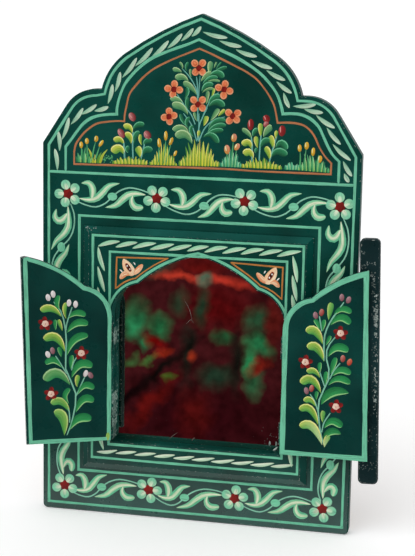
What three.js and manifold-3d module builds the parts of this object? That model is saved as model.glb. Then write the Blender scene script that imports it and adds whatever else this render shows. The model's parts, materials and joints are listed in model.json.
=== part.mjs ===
// A hand-painted wall mirror in the shape of an arched window. A board with a lobed top
// carries a raised surround, whose cusped opening is closed by two small doors sawn from one
// blank. The doors swing right back on butt hinges, and the right-hand one carries a long
// cover strip over the line where they meet.
//
// Lengths are in millimetres. X runs to the viewer's right, Y runs back to the wall and Z is
// up. While the pieces are drawn, Y is zero on the face board's front and Z is zero on its
// bottom edge. The finished group is moved so that its origin is the middle of the backing
// board's wall side.

import Module from 'manifold-3d';
import * as THREE from 'three';
import { mergeVertices } from 'three/addons/utils/BufferGeometryUtils.js';

const wasm = await Module();
wasm.setup();

// Face board
const boardWidth = 230;
const boardHeight = 368.3;
const boardThickness = 10;
const boardCorner = 3;
const boardEasedEdge = 0.8;
const crownHalfWidth = 71.6;
const crownRise = 54.3;
const lobeDrop = 39.5;
const lobeRadiusShare = 0.6;
const lobeFlatShare = 0.088;
const haunchRadius = 44;
const haunchDrop = 10;
const headTurn = 7.8;

// Window, shared by the face board, the surround and the doors. It is cut a little to the
// right of the board's middle.
const windowHalfWidth = 63.6;
const windowOffset = 1.5;
const sillHeight = 56.5;
const jambHeight = 95;
const archRise = 47.3;
const foilRadius = 25.2;
const foilEndAngle = 78.5;
const headRadius = 95;

// Raised surround
const surroundThickness = 4;
const stileWidth = 20;
const bottomRailWidth = 21.7;
const topRailWidth = 17.2;
const chamferWidth = 4.4;
const surroundSquareEdge = 0.8;

// Mirror and its rebate in the back of the face board
const mirrorThickness = 2;
const mirrorLap = 5;
const mirrorSideClearance = 0.6;
const mirrorFaceClearance = 0.3;

// Backing board and its screws
const backingThickness = 3;
const backingBorder = 13;
const backingCorner = 2;
const backingScrewInset = 6;
const backingScrewLength = 9;

// Screws, all of one kind
const screwShankRadius = 1.25;
const screwHeadRadius = 2.6;
const screwHeadHeight = 1.5;
const screwPointHeight = 1.8;
const screwClearance = 0.3;
const hangerScrewLength = 7.5;

// Hanger with a toothed edge, high on the back
const hangerBelowApex = 68.3;
const hangerLength = 46;
const hangerDepth = 9;
const hangerMetal = 0.9;
const hangerBridge = 24;
const hangerJog = 2.5;
const hangerStandoff = 1.3;
const hangerScrewInset = 4.5;
const toothPitch = 2.4;
const toothDepth = 1.2;
const toothCount = 7;

// Doors. They meet on a leaning line a little to the right of the window's middle.
const doorThickness = 4;
const doorClearance = 1.1;
const doorSillClearance = 3.2;
const meetingGap = 1;
const meetingOffset = 1.5;
const meetingLean = 1.6;
const doorEasedEdge = 0.5;
const leftDoorOpenAngle = 154;
const rightDoorOpenAngle = 180;

// Cover strip on the right-hand door
const stripWidth = 14.2;
const stripThickness = 5;
const stripOverlapBelow = 15;
const stripOverlapAbove = 19.7;
const stripCorner = 3.6;
const stripEasedEdge = 1.1;

// Butt hinges
const leafHeight = 16;
const leafReach = 10;
const leafThickness = 0.8;
const barrelRadius = 1.4;
const pinRadius = 0.65;
const pinClearance = 0.15;
const hingeRunningGap = 0.3;
const knuckleGap = 0.25;
const knuckleCount = 3;
const lowerHingeAboveSill = 17;
const upperHingeBelowSpringing = 15;

// Gap left for glue or paint between pieces that sit on each other
const seatGap = 0.2;
// How far a cutter runs past the face that it cuts
const overrun = 5;

// Facets
const arcSteps = 12;
const smallArcSteps = 4;
const roundSides = 16;

// Places that follow from the sizes above
const halfWidth = boardWidth / 2;
const notchHeight = boardHeight - crownRise;
const shoulderHeight = notchHeight - lobeDrop;
const hangerHeight = boardHeight - hangerBelowApex;
const springingHeight = sillHeight + jambHeight;
const tipHeight = springingHeight + archRise;
const wallPlane = boardThickness + backingThickness;
const surroundFront = -surroundThickness;
const chamferRise = surroundThickness - seatGap - surroundSquareEdge;
const surroundBottom = sillHeight - bottomRailWidth;
const surroundTop = tipHeight + topRailWidth;
const surroundHalfWidth = windowHalfWidth + stileWidth;
const mirrorHalfWidth = windowHalfWidth + mirrorLap;
const mirrorBottom = sillHeight - mirrorLap;
const mirrorTop = tipHeight + mirrorLap;
const rebateDepth = mirrorThickness + 2 * mirrorFaceClearance;
const backingHalfWidth = mirrorHalfWidth + backingBorder;
const backingBottom = mirrorBottom - backingBorder;
const backingTop = mirrorTop + backingBorder;
const backingMiddle = (backingBottom + backingTop) / 2;
const hingeAxisX = windowHalfWidth - doorClearance / 2;
const hingeAxisY = surroundFront - seatGap - barrelRadius;
const meetingMiddle = (sillHeight + tipHeight) / 2;

// Colours
const paintedGreen = { color: 0x0b3a34, roughness: 0.35, metalness: 0 };
const silveredGlass = { color: 0xc4cccb, roughness: 0.04, metalness: 1 };
const brownHardboard = { color: 0x7a5434, roughness: 0.85, metalness: 0 };
const paintedSteel = { color: 0x12413a, roughness: 0.45, metalness: 0.2 };
const zincSteel = { color: 0x9aa0a2, roughness: 0.4, metalness: 0.9 };

const degrees = Math.PI / 180;

// Outlines, drawn as seen from the front: x across and y up

function arc(centre, radius, start, end, steps) {
  const points = [];
  for (let i = 0; i <= steps; i += 1) {
    const angle = start + ((end - start) * i) / steps;
    const x = centre.x + radius * Math.cos(angle);
    const y = centre.y + radius * Math.sin(angle);
    points.push(new THREE.Vector2(x, y));
  }
  return points;
}

function angleAt(centre, point) {
  return Math.atan2(point.y - centre.y, point.x - centre.x);
}

// The upper crossing of two circles
function circlesMeet(a, radiusA, b, radiusB) {
  const between = new THREE.Vector2().subVectors(b, a);
  const distance = between.length();
  const along = (distance ** 2 + radiusA ** 2 - radiusB ** 2) / (2 * distance);
  const aside = Math.sqrt(radiusA ** 2 - along ** 2);
  const direction = between.normalize();
  const first = a.clone().addScaledVector(direction, along);
  const normal = new THREE.Vector2(-direction.y, direction.x);
  const crossings = [aside, -aside].map((s) => first.clone().addScaledVector(normal, s));
  return crossings[0].y > crossings[1].y ? crossings[0] : crossings[1];
}

// A right-hand side that runs from the bottom up to the centre line, with its mirror image
function mirrored(right) {
  const tip = right[right.length - 1];
  const left = right.slice(0, -1).reverse().map((p) => new THREE.Vector2(-p.x, p.y));
  return [...right.slice(0, -1), new THREE.Vector2(0, tip.y), ...left];
}

// The centre of an arc that runs anticlockwise from one point to another
function arcCentre(from, to, radius) {
  const chord = new THREE.Vector2().subVectors(to, from);
  const inward = new THREE.Vector2(-chord.y, chord.x).normalize();
  const middle = from.clone().addScaledVector(chord, 0.5);
  return middle.addScaledVector(inward, Math.sqrt(radius ** 2 - chord.lengthSq() / 4));
}

// The cusped window, or the same outline drawn in by an inset all round. On each side a
// foil rises from the jamb to a cusp, and one long arc runs from the cusp to the tip.
function windowOutline(inset, sillInset = inset) {
  const foil = new THREE.Vector2(windowHalfWidth - foilRadius, springingHeight);
  const foilEnd = arc(foil, foilRadius, 0, foilEndAngle * degrees, 1)[1];
  const head = arcCentre(foilEnd, new THREE.Vector2(0, tipHeight), headRadius);
  const cusp = circlesMeet(foil, foilRadius - inset, head, headRadius - inset);
  const tipAngle = Math.acos(-head.x / (headRadius - inset));
  const right = [new THREE.Vector2(windowHalfWidth - inset, sillHeight + sillInset)];
  right.push(...arc(foil, foilRadius - inset, 0, angleAt(foil, cusp), arcSteps));
  right.push(...arc(head, headRadius - inset, angleAt(head, cusp), tipAngle, arcSteps).slice(1));
  return mirrored(right);
}

// Where a line from a point outside a circle touches it: the angle on the circle, taken on
// the clockwise side of the point if turn is 1 and on the other side if it is -1
function tangentAngle(centre, radius, outside, turn) {
  const spread = Math.acos(radius / centre.distanceTo(outside));
  return angleAt(centre, outside) - turn * spread;
}

// The head of the crown: an arc that leaves the haunch smoothly and ends at the apex
function crownHead(haunch, haunchEnd, apex) {
  const outward = new THREE.Vector2().subVectors(haunchEnd, haunch).normalize();
  const chord = new THREE.Vector2().subVectors(apex, haunchEnd);
  const radius = -chord.lengthSq() / (2 * outward.dot(chord));
  const centre = haunchEnd.clone().addScaledVector(outward, -radius);
  const start = angleAt(centre, haunchEnd);
  return arc(centre, radius, start, angleAt(centre, apex), smallArcSteps).slice(1);
}

function boardOutline() {
  const corner = new THREE.Vector2(halfWidth - boardCorner, boardCorner);
  const shoulder = new THREE.Vector2(halfWidth, shoulderHeight);
  const apex = new THREE.Vector2(0, boardHeight);
  const lobeWidth = halfWidth - crownHalfWidth;
  const lobeRadius = lobeWidth * lobeRadiusShare;
  const lobeX = crownHalfWidth + lobeWidth * lobeFlatShare;
  const lobe = new THREE.Vector2(lobeX, notchHeight - lobeRadius);
  const lobeStart = tangentAngle(lobe, lobeRadius, shoulder, -1);
  const haunchReach = Math.sqrt(haunchRadius ** 2 - haunchDrop ** 2);
  const haunch = new THREE.Vector2(crownHalfWidth - haunchReach, notchHeight - haunchDrop);
  const haunchStart = Math.asin(haunchDrop / haunchRadius);
  const haunchStop = tangentAngle(haunch, haunchRadius, apex, 1) - headTurn * degrees;
  const haunchArc = arc(haunch, haunchRadius, haunchStart, haunchStop, arcSteps);
  const right = [
    ...arc(corner, boardCorner, -Math.PI / 2, 0, smallArcSteps),
    shoulder,
    ...arc(lobe, lobeRadius, lobeStart, Math.PI / 2, arcSteps),
    ...haunchArc,
    ...crownHead(haunch, haunchArc[haunchArc.length - 1], apex),
  ];
  return mirrored(right);
}

function roundedRectangle(left, right, bottom, top, radius, steps) {
  return [
    ...arc({ x: right - radius, y: bottom + radius }, radius, -Math.PI / 2, 0, steps),
    ...arc({ x: right - radius, y: top - radius }, radius, 0, Math.PI / 2, steps),
    ...arc({ x: left + radius, y: top - radius }, radius, Math.PI / 2, Math.PI, steps),
    ...arc({ x: left + radius, y: bottom + radius }, radius, Math.PI, 1.5 * Math.PI, steps),
  ];
}

function rectangle(left, right, bottom, top) {
  return [
    new THREE.Vector2(right, bottom),
    new THREE.Vector2(right, top),
    new THREE.Vector2(left, top),
    new THREE.Vector2(left, bottom),
  ];
}

// Solids

// A board cut to an outline, with its front and back faces at the two places along Y. The
// edges may be eased on both faces by a width across the face and a rise through it.
function board(outline, front, back, easedWidth = 0, easedRise = easedWidth) {
  const geometry = new THREE.ExtrudeGeometry(new THREE.Shape(outline), {
    depth: back - front - 2 * easedRise,
    bevelEnabled: easedWidth > 0,
    bevelSize: easedWidth,
    bevelOffset: -easedWidth,
    bevelThickness: easedRise,
    bevelSegments: 1,
    steps: 1,
  });
  geometry.rotateX(Math.PI / 2);
  geometry.translate(0, back - easedRise, 0);
  return solidOf(geometry);
}

function solidOf(geometry) {
  const bare = geometry.clone();
  bare.deleteAttribute('normal');
  bare.deleteAttribute('uv');
  const merged = mergeVertices(bare);
  const mesh = new wasm.Mesh({
    numProp: 3,
    vertProperties: Float32Array.from(merged.attributes.position.array),
    triVerts: Uint32Array.from(merged.index.array),
  });
  return new wasm.Manifold(mesh);
}

function geometryOf(solid) {
  const mesh = solid.getMesh();
  const geometry = new THREE.BufferGeometry();
  geometry.setAttribute('position', new THREE.BufferAttribute(mesh.vertProperties, 3));
  geometry.setIndex(new THREE.BufferAttribute(mesh.triVerts, 1));
  geometry.computeVertexNormals();
  return geometry;
}

function named(name, solid, look) {
  const mesh = new THREE.Mesh(geometryOf(solid), new THREE.MeshStandardMaterial(look));
  mesh.name = name;
  return mesh;
}

// A countersunk wood screw along Y with its head's top at zero and its point in front. With
// room added all round it is the hole that the screw needs.
function screwSolid(length, room = 0) {
  const shank = screwShankRadius + room;
  const head = screwHeadRadius + room;
  const past = room > 0 ? overrun : 0;
  const profile = [
    new THREE.Vector2(0, -length - room),
    new THREE.Vector2(shank, screwPointHeight - length),
    new THREE.Vector2(shank, -screwHeadHeight),
    new THREE.Vector2(head, 0),
    new THREE.Vector2(head, past),
    new THREE.Vector2(0, past),
  ];
  const points = room > 0 ? profile : profile.filter((p, i) => i !== 4);
  return solidOf(new THREE.LatheGeometry(points, roundSides));
}

// The places of the backing board's screws: three up each side
function backingScrewPlaces() {
  const x = backingHalfWidth - backingScrewInset;
  const rows = [backingBottom + backingScrewInset, backingMiddle, backingTop - backingScrewInset];
  const places = [];
  for (const side of [-1, 1]) {
    for (const z of rows) {
      places.push({ x: side * x, z });
    }
  }
  return places;
}

function hangerScrewPlaces() {
  const x = hangerLength / 2 - hangerScrewInset;
  return [{ x: -x, z: hangerHeight }, { x, z: hangerHeight }];
}

const hangerBack = boardThickness + seatGap + hangerMetal;

// Where the window and the mirror's rebate are cut away
function windowCut() {
  const through = board(windowOutline(0), surroundFront - overrun, boardThickness + overrun);
  return through.translate([windowOffset, 0, 0]);
}

function rebateCut() {
  const room = mirrorSideClearance;
  const outline = rectangle(
    -mirrorHalfWidth - room,
    mirrorHalfWidth + room,
    mirrorBottom - room,
    mirrorTop + room,
  );
  const cut = board(outline, boardThickness - rebateDepth, boardThickness + overrun);
  return cut.translate([windowOffset, 0, 0]);
}

function faceBoard() {
  const blank = board(boardOutline(), 0, boardThickness, boardEasedEdge);
  let solid = blank.subtract(windowCut()).subtract(rebateCut());
  for (const place of backingScrewPlaces()) {
    const hole = screwSolid(backingScrewLength, screwClearance);
    solid = solid.subtract(hole.translate([place.x, wallPlane, place.z]));
  }
  for (const place of hangerScrewPlaces()) {
    const hole = screwSolid(hangerScrewLength, screwClearance);
    solid = solid.subtract(hole.translate([place.x, hangerBack, place.z]));
  }
  return named('face_board', solid, paintedGreen);
}

// The surround has a chamfer all round its outer edge, on the front only
function raisedSurround() {
  const outline = rectangle(
    -surroundHalfWidth,
    surroundHalfWidth,
    surroundBottom,
    surroundTop,
  );
  const back = -seatGap;
  const chamfered = board(outline, surroundFront, back + chamferRise, chamferWidth, chamferRise);
  const behind = board(outline, back, back + chamferRise + overrun);
  const solid = chamfered.subtract(behind).subtract(windowCut());
  return named('raised_surround', solid, paintedGreen);
}

function mirrorGlass() {
  const front = boardThickness - rebateDepth + mirrorFaceClearance;
  const outline = rectangle(-mirrorHalfWidth, mirrorHalfWidth, mirrorBottom, mirrorTop);
  const solid = board(outline, front, front + mirrorThickness);
  return named('mirror_glass', solid, silveredGlass);
}

function backingBoard() {
  const outline = roundedRectangle(
    -backingHalfWidth,
    backingHalfWidth,
    backingBottom,
    backingTop,
    backingCorner,
    smallArcSteps,
  );
  let solid = board(outline, boardThickness + seatGap, wallPlane);
  for (const place of backingScrewPlaces()) {
    const hole = screwSolid(backingScrewLength, screwClearance);
    solid = solid.subtract(hole.translate([place.x, wallPlane, place.z]));
  }
  return named('backing_board', solid, brownHardboard);
}

function backingScrews() {
  const sides = ['left', 'right'];
  const rows = ['lower', 'middle', 'upper'];
  return backingScrewPlaces().map((place, i) => {
    const side = sides[Math.floor(i / rows.length)];
    const row = rows[i % rows.length];
    const screw = named(`backing_screw_${row}_${side}`, screwSolid(backingScrewLength), zincSteel);
    screw.position.set(place.x, wallPlane, place.z);
    return screw;
  });
}

// The hanger is a strip with both ends on the board and a bridge that stands off it. The
// bridge's lower edge is cut into teeth that sit on a nail.
function sawtoothHanger() {
  const half = hangerLength / 2;
  const bridge = hangerBridge / 2;
  const low = boardThickness + seatGap;
  const high = low + hangerStandoff;
  const right = [
    new THREE.Vector2(half, low),
    new THREE.Vector2(half, low + hangerMetal),
    new THREE.Vector2(bridge + hangerJog, low + hangerMetal),
    new THREE.Vector2(bridge, high + hangerMetal),
  ];
  const inner = [
    new THREE.Vector2(bridge, high),
    new THREE.Vector2(bridge + hangerJog, low),
  ];
  const outline = [
    ...right,
    ...right.map((p) => new THREE.Vector2(-p.x, p.y)).reverse(),
    ...inner.map((p) => new THREE.Vector2(-p.x, p.y)).reverse(),
    ...inner,
  ];
  const strip = new THREE.ExtrudeGeometry(new THREE.Shape(outline), {
    depth: hangerDepth,
    bevelEnabled: false,
  });
  strip.translate(0, 0, hangerHeight - hangerDepth / 2);
  let solid = solidOf(strip);
  for (let i = 0; i < toothCount; i += 1) {
    const notch = new THREE.CylinderGeometry(toothDepth, toothDepth, boardThickness, 4);
    const x = (i - (toothCount - 1) / 2) * toothPitch;
    notch.translate(x, wallPlane, hangerHeight - hangerDepth / 2);
    solid = solid.subtract(solidOf(notch));
  }
  for (const place of hangerScrewPlaces()) {
    const hole = screwSolid(hangerScrewLength, screwClearance);
    solid = solid.subtract(hole.translate([place.x, hangerBack, place.z]));
  }
  return named('sawtooth_hanger', solid, zincSteel);
}

function hangerScrews() {
  const names = ['hanger_screw_left', 'hanger_screw_right'];
  return hangerScrewPlaces().map((place, i) => {
    const screw = named(names[i], screwSolid(hangerScrewLength), zincSteel);
    screw.position.set(place.x, hangerBack, place.z);
    return screw;
  });
}

// Everything on one side of the leaning line where the doors meet
function sideOfMeetingLine(side) {
  const size = boardWidth + boardHeight;
  const block = new THREE.BoxGeometry(size, size, size);
  block.translate((side * (size + meetingGap)) / 2, 0, 0);
  block.rotateY(meetingLean * degrees);
  block.translate(meetingOffset, 0, meetingMiddle);
  return solidOf(block);
}

function doorPanel(name, side) {
  const front = surroundFront;
  const outline = windowOutline(doorClearance, doorSillClearance);
  const blank = board(outline, front, front + doorThickness, doorEasedEdge);
  return named(name, blank.intersect(sideOfMeetingLine(side)), paintedGreen);
}

function coverStrip() {
  const bottom = sillHeight - stripOverlapBelow;
  const top = tipHeight + stripOverlapAbove;
  const outline = roundedRectangle(
    -stripWidth / 2,
    stripWidth / 2,
    bottom - meetingMiddle,
    top - meetingMiddle,
    stripCorner,
    smallArcSteps,
  );
  const back = surroundFront - seatGap;
  const solid = board(outline, back - stripThickness, back, stripEasedEdge);
  const strip = named('cover_strip', solid, paintedGreen);
  strip.rotation.y = meetingLean * degrees;
  strip.position.set(meetingOffset, 0, meetingMiddle);
  return strip;
}

// A hinge leaf around an axis at the origin, with its plate towards +X and its back face
// towards +Y. Its knuckles are those whose turn it is.
function hingeLeaf(knuckles) {
  const length = (leafHeight - (knuckleCount - 1) * knuckleGap) / knuckleCount;
  const plateStart = barrelRadius + hingeRunningGap;
  const plateY = barrelRadius - leafThickness / 2;
  const plate = new THREE.BoxGeometry(leafReach - plateStart, leafThickness, leafHeight);
  plate.translate((leafReach + plateStart) / 2, plateY, 0);
  let solid = solidOf(plate);
  for (const knuckle of knuckles) {
    const z = (knuckle - (knuckleCount - 1) / 2) * (length + knuckleGap);
    const barrel = new THREE.CylinderGeometry(barrelRadius, barrelRadius, length, roundSides);
    barrel.rotateX(Math.PI / 2);
    barrel.translate(0, 0, z);
    const tab = new THREE.BoxGeometry(leafReach / 2, leafThickness, length);
    tab.translate(leafReach / 4, plateY, z);
    solid = solid.add(solidOf(barrel)).add(solidOf(tab));
  }
  const boreRadius = pinRadius + pinClearance;
  const bore = new THREE.CylinderGeometry(
    boreRadius,
    boreRadius,
    leafHeight + overrun,
    roundSides,
  );
  bore.rotateX(Math.PI / 2);
  return solid.subtract(solidOf(bore));
}

function hingePin() {
  const pin = new THREE.CylinderGeometry(pinRadius, pinRadius, leafHeight, roundSides);
  pin.rotateX(Math.PI / 2);
  return solidOf(pin);
}

const hingeRows = [
  { row: 'lower', z: sillHeight + lowerHingeAboveSill },
  { row: 'upper', z: springingHeight - upperHingeBelowSpringing },
];

function hingeName(row, side, piece) {
  return `${row}_${side < 0 ? 'left' : 'right'}_hinge_${piece}`;
}

// The leaf on the surround and the pin, which stay still. A leaf turned half round about Y
// points the other way, because it is the same upside down.
function fixedHingeHalf(row, z, side) {
  const leaf = named(hingeName(row, side, 'frame_leaf'), hingeLeaf([0, 2]), paintedSteel);
  leaf.rotation.y = side > 0 ? 0 : Math.PI;
  leaf.position.set(side * hingeAxisX, hingeAxisY, z);
  const pin = named(hingeName(row, side, 'pin'), hingePin(), zincSteel);
  pin.position.copy(leaf.position);
  return [leaf, pin];
}

function doorHingeLeaf(row, z, side) {
  const leaf = named(hingeName(row, side, 'door_leaf'), hingeLeaf([1]), paintedSteel);
  leaf.rotation.y = side > 0 ? Math.PI : 0;
  leaf.position.set(side * hingeAxisX, hingeAxisY, z);
  return leaf;
}

// A door with its hinge leaves, turned open about its hinge axis. The pieces are drawn as
// the door stands closed.
function hungDoor(side, openAngle, pieces) {
  const hinge = new THREE.Group();
  hinge.position.set(side * hingeAxisX, hingeAxisY, 0);
  hinge.rotation.z = side * openAngle * degrees;
  const closed = new THREE.Group();
  closed.position.set(-side * hingeAxisX, -hingeAxisY, 0);
  closed.add(...pieces);
  closed.add(...hingeRows.map(({ row, z }) => doorHingeLeaf(row, z, side)));
  hinge.add(closed);
  return hinge;
}

// The pieces that keep to the window, drawn around its own middle
const inWindow = new THREE.Group();
inWindow.position.x = windowOffset;
inWindow.add(mirrorGlass());
for (const side of [-1, 1]) {
  for (const { row, z } of hingeRows) {
    inWindow.add(...fixedHingeHalf(row, z, side));
  }
}
inWindow.add(hungDoor(-1, leftDoorOpenAngle, [doorPanel('left_door', -1)]));
inWindow.add(hungDoor(1, rightDoorOpenAngle, [doorPanel('right_door', 1), coverStrip()]));

const wallMirror = new THREE.Group();
wallMirror.add(faceBoard(), raisedSurround(), backingBoard());
wallMirror.add(...backingScrews(), sawtoothHanger(), ...hangerScrews(), inWindow);

// Move the drawing so that the middle of the backing board's wall side is the origin
wallMirror.position.set(0, -wallPlane, -backingMiddle);

export default wallMirror;
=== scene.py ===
# %% [markdown]
# # A hand-painted wall mirror
# This lesson dresses a small wooden wall mirror. The board, the raised surround, the doors and
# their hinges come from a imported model, and they stay where they are. Blender adds what a
# painter adds in the workshop: the dark green enamel, the borders, the flowers and the wear.

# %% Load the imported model
import json
import math
import random

import bpy
from mathutils import Matrix, Vector


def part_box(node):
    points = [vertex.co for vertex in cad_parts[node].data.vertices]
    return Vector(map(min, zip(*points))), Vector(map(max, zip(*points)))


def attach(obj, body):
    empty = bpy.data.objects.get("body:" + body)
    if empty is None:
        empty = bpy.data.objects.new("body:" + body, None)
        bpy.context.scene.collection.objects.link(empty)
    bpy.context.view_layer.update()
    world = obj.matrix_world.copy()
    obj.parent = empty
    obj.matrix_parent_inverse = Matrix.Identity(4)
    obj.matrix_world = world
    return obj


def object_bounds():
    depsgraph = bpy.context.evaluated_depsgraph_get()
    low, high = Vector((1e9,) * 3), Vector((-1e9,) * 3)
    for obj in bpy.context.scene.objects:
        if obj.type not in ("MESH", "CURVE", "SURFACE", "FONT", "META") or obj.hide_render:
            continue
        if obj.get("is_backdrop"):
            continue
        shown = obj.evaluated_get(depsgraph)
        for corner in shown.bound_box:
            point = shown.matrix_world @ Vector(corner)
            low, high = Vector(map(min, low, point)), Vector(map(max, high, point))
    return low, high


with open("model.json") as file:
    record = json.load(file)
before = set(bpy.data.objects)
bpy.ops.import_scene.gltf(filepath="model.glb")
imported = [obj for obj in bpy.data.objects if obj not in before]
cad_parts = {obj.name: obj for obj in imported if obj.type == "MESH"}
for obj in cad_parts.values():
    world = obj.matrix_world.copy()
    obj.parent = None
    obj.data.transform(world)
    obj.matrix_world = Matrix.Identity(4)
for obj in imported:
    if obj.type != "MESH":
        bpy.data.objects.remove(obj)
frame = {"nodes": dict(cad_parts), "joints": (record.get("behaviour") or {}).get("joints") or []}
CAD_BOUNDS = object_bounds()
NODES = frame["nodes"]
MM = 0.001

# %% [markdown]
# ## The camera
# The painted straight lines of the border tell where the photographer stood: a little to the
# right of the mirror and above it, about 1.1 m away. The focal length is kept in pixels of a
# 415 by 556 picture, because a point of the picture can then be followed back to the wood.

# %% Camera
PICTURE_WIDTH = 415
PICTURE_HEIGHT = 556
FOCAL_PIXELS = 1554.0
CAMERA_YAW = math.radians(12.02)
CAMERA_PITCH = math.radians(11.0)
CAMERA_ROLL = math.radians(1.1)
CAMERA_DISTANCE = 1108.5 * MM
AIM_RIGHT_OF_MIDDLE = 7.9 * MM
AIM_ABOVE_BOTTOM = 182.6 * MM
SENSOR_HEIGHT_MM = 24

board_low, board_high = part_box("face_board")
BOARD_FRONT = board_low.y
BOARD_BACK = board_high.y
BOARD_BOTTOM = board_low.z

level_forward = Vector((-math.sin(CAMERA_YAW), math.cos(CAMERA_YAW), 0))
LOOK = level_forward * math.cos(CAMERA_PITCH) - Vector((0, 0, math.sin(CAMERA_PITCH)))
level_right = Vector((math.cos(CAMERA_YAW), math.sin(CAMERA_YAW), 0))
level_up = level_right.cross(LOOK)
RIGHT = level_right * math.cos(CAMERA_ROLL) + level_up * math.sin(CAMERA_ROLL)
UP = level_up * math.cos(CAMERA_ROLL) - level_right * math.sin(CAMERA_ROLL)
aim = Vector((AIM_RIGHT_OF_MIDDLE, BOARD_FRONT, BOARD_BOTTOM + AIM_ABOVE_BOTTOM))
EYE = aim - LOOK * CAMERA_DISTANCE

camera_data = bpy.data.cameras.new("camera")
camera_data.sensor_fit = "VERTICAL"
camera_data.sensor_height = SENSOR_HEIGHT_MM
camera_data.lens = FOCAL_PIXELS / PICTURE_HEIGHT * SENSOR_HEIGHT_MM
camera = bpy.data.objects.new("camera", camera_data)
turned = Matrix((RIGHT, UP, -LOOK)).transposed().to_4x4()
camera.matrix_world = Matrix.Translation(EYE) @ turned
bpy.context.scene.collection.objects.link(camera)
bpy.context.scene.camera = camera
print("camera stands", [round(c, 3) for c in EYE], "lens", round(camera_data.lens, 1))

# %% [markdown]
# ## Colours and nodes
# Paint is given as a hex colour, and Blender's shaders want linear light. One function
# turns the one into the other. Another fills a node's inputs with links, colours and values,
# and a third adds a node, so that each material below reads as a short list of steps.

# %% Helpers for materials
def linear(hex_colour):
    """An sRGB hex colour as linear red, green, blue and alpha."""
    channels = []
    for start in (1, 3, 5):
        share = int(hex_colour[start:start + 2], 16) / 255
        toe = share / 12.92
        curve = ((share + 0.055) / 1.055) ** 2.4
        channels.append(toe if share <= 0.04045 else curve)
    return (*channels, 1.0)


def fill(tree, node, inputs):
    """A link, a hex colour or a value for each named or numbered input of a node."""
    for key, value in inputs.items():
        if isinstance(value, bpy.types.NodeSocket):
            tree.links.new(value, node.inputs[key])
        else:
            node.inputs[key].default_value = linear(value) if isinstance(value, str) else value


def add_node(tree, kind, inputs=None, output=0, **settings):
    """One node with its settings and inputs. It gives back one of the node's outputs."""
    node = tree.nodes.new("ShaderNode" + kind)
    for name, value in settings.items():
        setattr(node, name, value)
    fill(tree, node, inputs or {})
    return node.outputs[output]


# A Mix node keeps a set of sockets for each kind of value: these numbers are its colours'
SHARE, UNDER, OVER = 0, 6, 7
COLOURS = {"output": 2, "data_type": "RGBA"}
TINTS = {**COLOURS, "blend_type": "MULTIPLY"}
LOW, HIGH, TO_LOW, TO_HIGH = "From Min", "From Max", "To Min", "To Max"


def new_material(name):
    """An empty material's tree and its shader, already joined to the output."""
    material = bpy.data.materials.new(name)
    material.use_nodes = True
    tree = material.node_tree
    tree.nodes.clear()
    shader = tree.nodes.new("ShaderNodeBsdfPrincipled")
    output = tree.nodes.new("ShaderNodeOutputMaterial")
    tree.links.new(shader.outputs[0], output.inputs["Surface"])
    return material, tree, shader


def mottled(tree, patch_mm, stretch=(1, 1, 1), detail=3, band=None):
    """How strong a mottled pattern is at each place of the object. Its patches have a real
    size in millimetres, a stretch draws them out along an axis, and a band sharpens them."""
    place = add_node(tree, "TexCoord", output="Object")
    scale = [1 / (patch_mm * MM * share) for share in stretch]
    place = add_node(tree, "Mapping", {"Vector": place, "Scale": scale})
    strength = add_node(tree, "TexNoise", {"Vector": place, "Scale": 1.0, "Detail": detail})
    return add_node(tree, "MapRange", {"Value": strength, **band}) if band else strength


print("white is", linear("#ffffff")[:3], "mid grey is", round(linear("#808080")[0], 3))

# %% [markdown]
# ## Light
# The photo is lit softly from all round, with a little more light from above. A pale world and
# one very soft sun do that. Their strengths add up so that a colour renders about as it is
# written. What the camera and the mirror see of the world is white, however little it lights.

# %% Light
bpy.context.scene.view_settings.view_transform = "Standard"
WORLD_LIGHT = 0.62
SUN_LIGHT = 1.2
SUN_HEIGHT = math.radians(52)
SUN_TURN = math.radians(-24)
SUN_SPREAD = math.radians(60)


def seen_or_mirrored(tree):
    """1 for what the camera sees straight, in a mirror or through glass, and 0 for light."""
    seen = 0.0
    for ray in ("Is Camera Ray", "Is Glossy Ray", "Is Transmission Ray"):
        ray = add_node(tree, "LightPath", output=ray)
        seen = add_node(tree, "Math", {0: seen, 1: ray}, operation="MAXIMUM")
    return seen


world = bpy.data.worlds.new("pale_studio")
bpy.context.scene.world = world
world.use_nodes = True
world_tree = world.node_tree
world_tree.nodes.clear()
seen = seen_or_mirrored(world_tree)
strength = add_node(world_tree, "MapRange", {"Value": seen, TO_LOW: WORLD_LIGHT, TO_HIGH: 1.0})
sky = add_node(world_tree, "Background", {"Strength": strength, "Color": "#ffffff"})
world_output = world_tree.nodes.new("ShaderNodeOutputWorld")
world_tree.links.new(sky, world_output.inputs[0])

sun_data = bpy.data.lights.new("soft_sun", "SUN")
sun_data.energy = SUN_LIGHT
sun_data.angle = SUN_SPREAD
sun = bpy.data.objects.new("soft_sun", sun_data)
sun.rotation_euler = (math.pi / 2 - SUN_HEIGHT, 0, SUN_TURN)
bpy.context.scene.collection.objects.link(sun)
print("world", WORLD_LIGHT, "sun", SUN_LIGHT)

# %% [markdown]
# ## Floor
# A photographer lays white paper under small things. A very wide floor stands for it. It takes
# the mirror's soft shadow, and a little light of its own, which only the camera and the glass
# see, lifts it toward white.

# %% Floor
FLOOR_HALF = 30000 * MM
FLOOR_GAP = 0.3 * MM
FLOOR_LIFT = 0.15


def plain_mesh(name, corners, faces, material):
    """A mesh object made of the given corners and faces."""
    mesh = bpy.data.meshes.new(name)
    mesh.from_pydata([tuple(c) for c in corners], [], faces)
    mesh.materials.append(material)
    thing = bpy.data.objects.new(name, mesh)
    bpy.context.scene.collection.objects.link(thing)
    return thing


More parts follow.
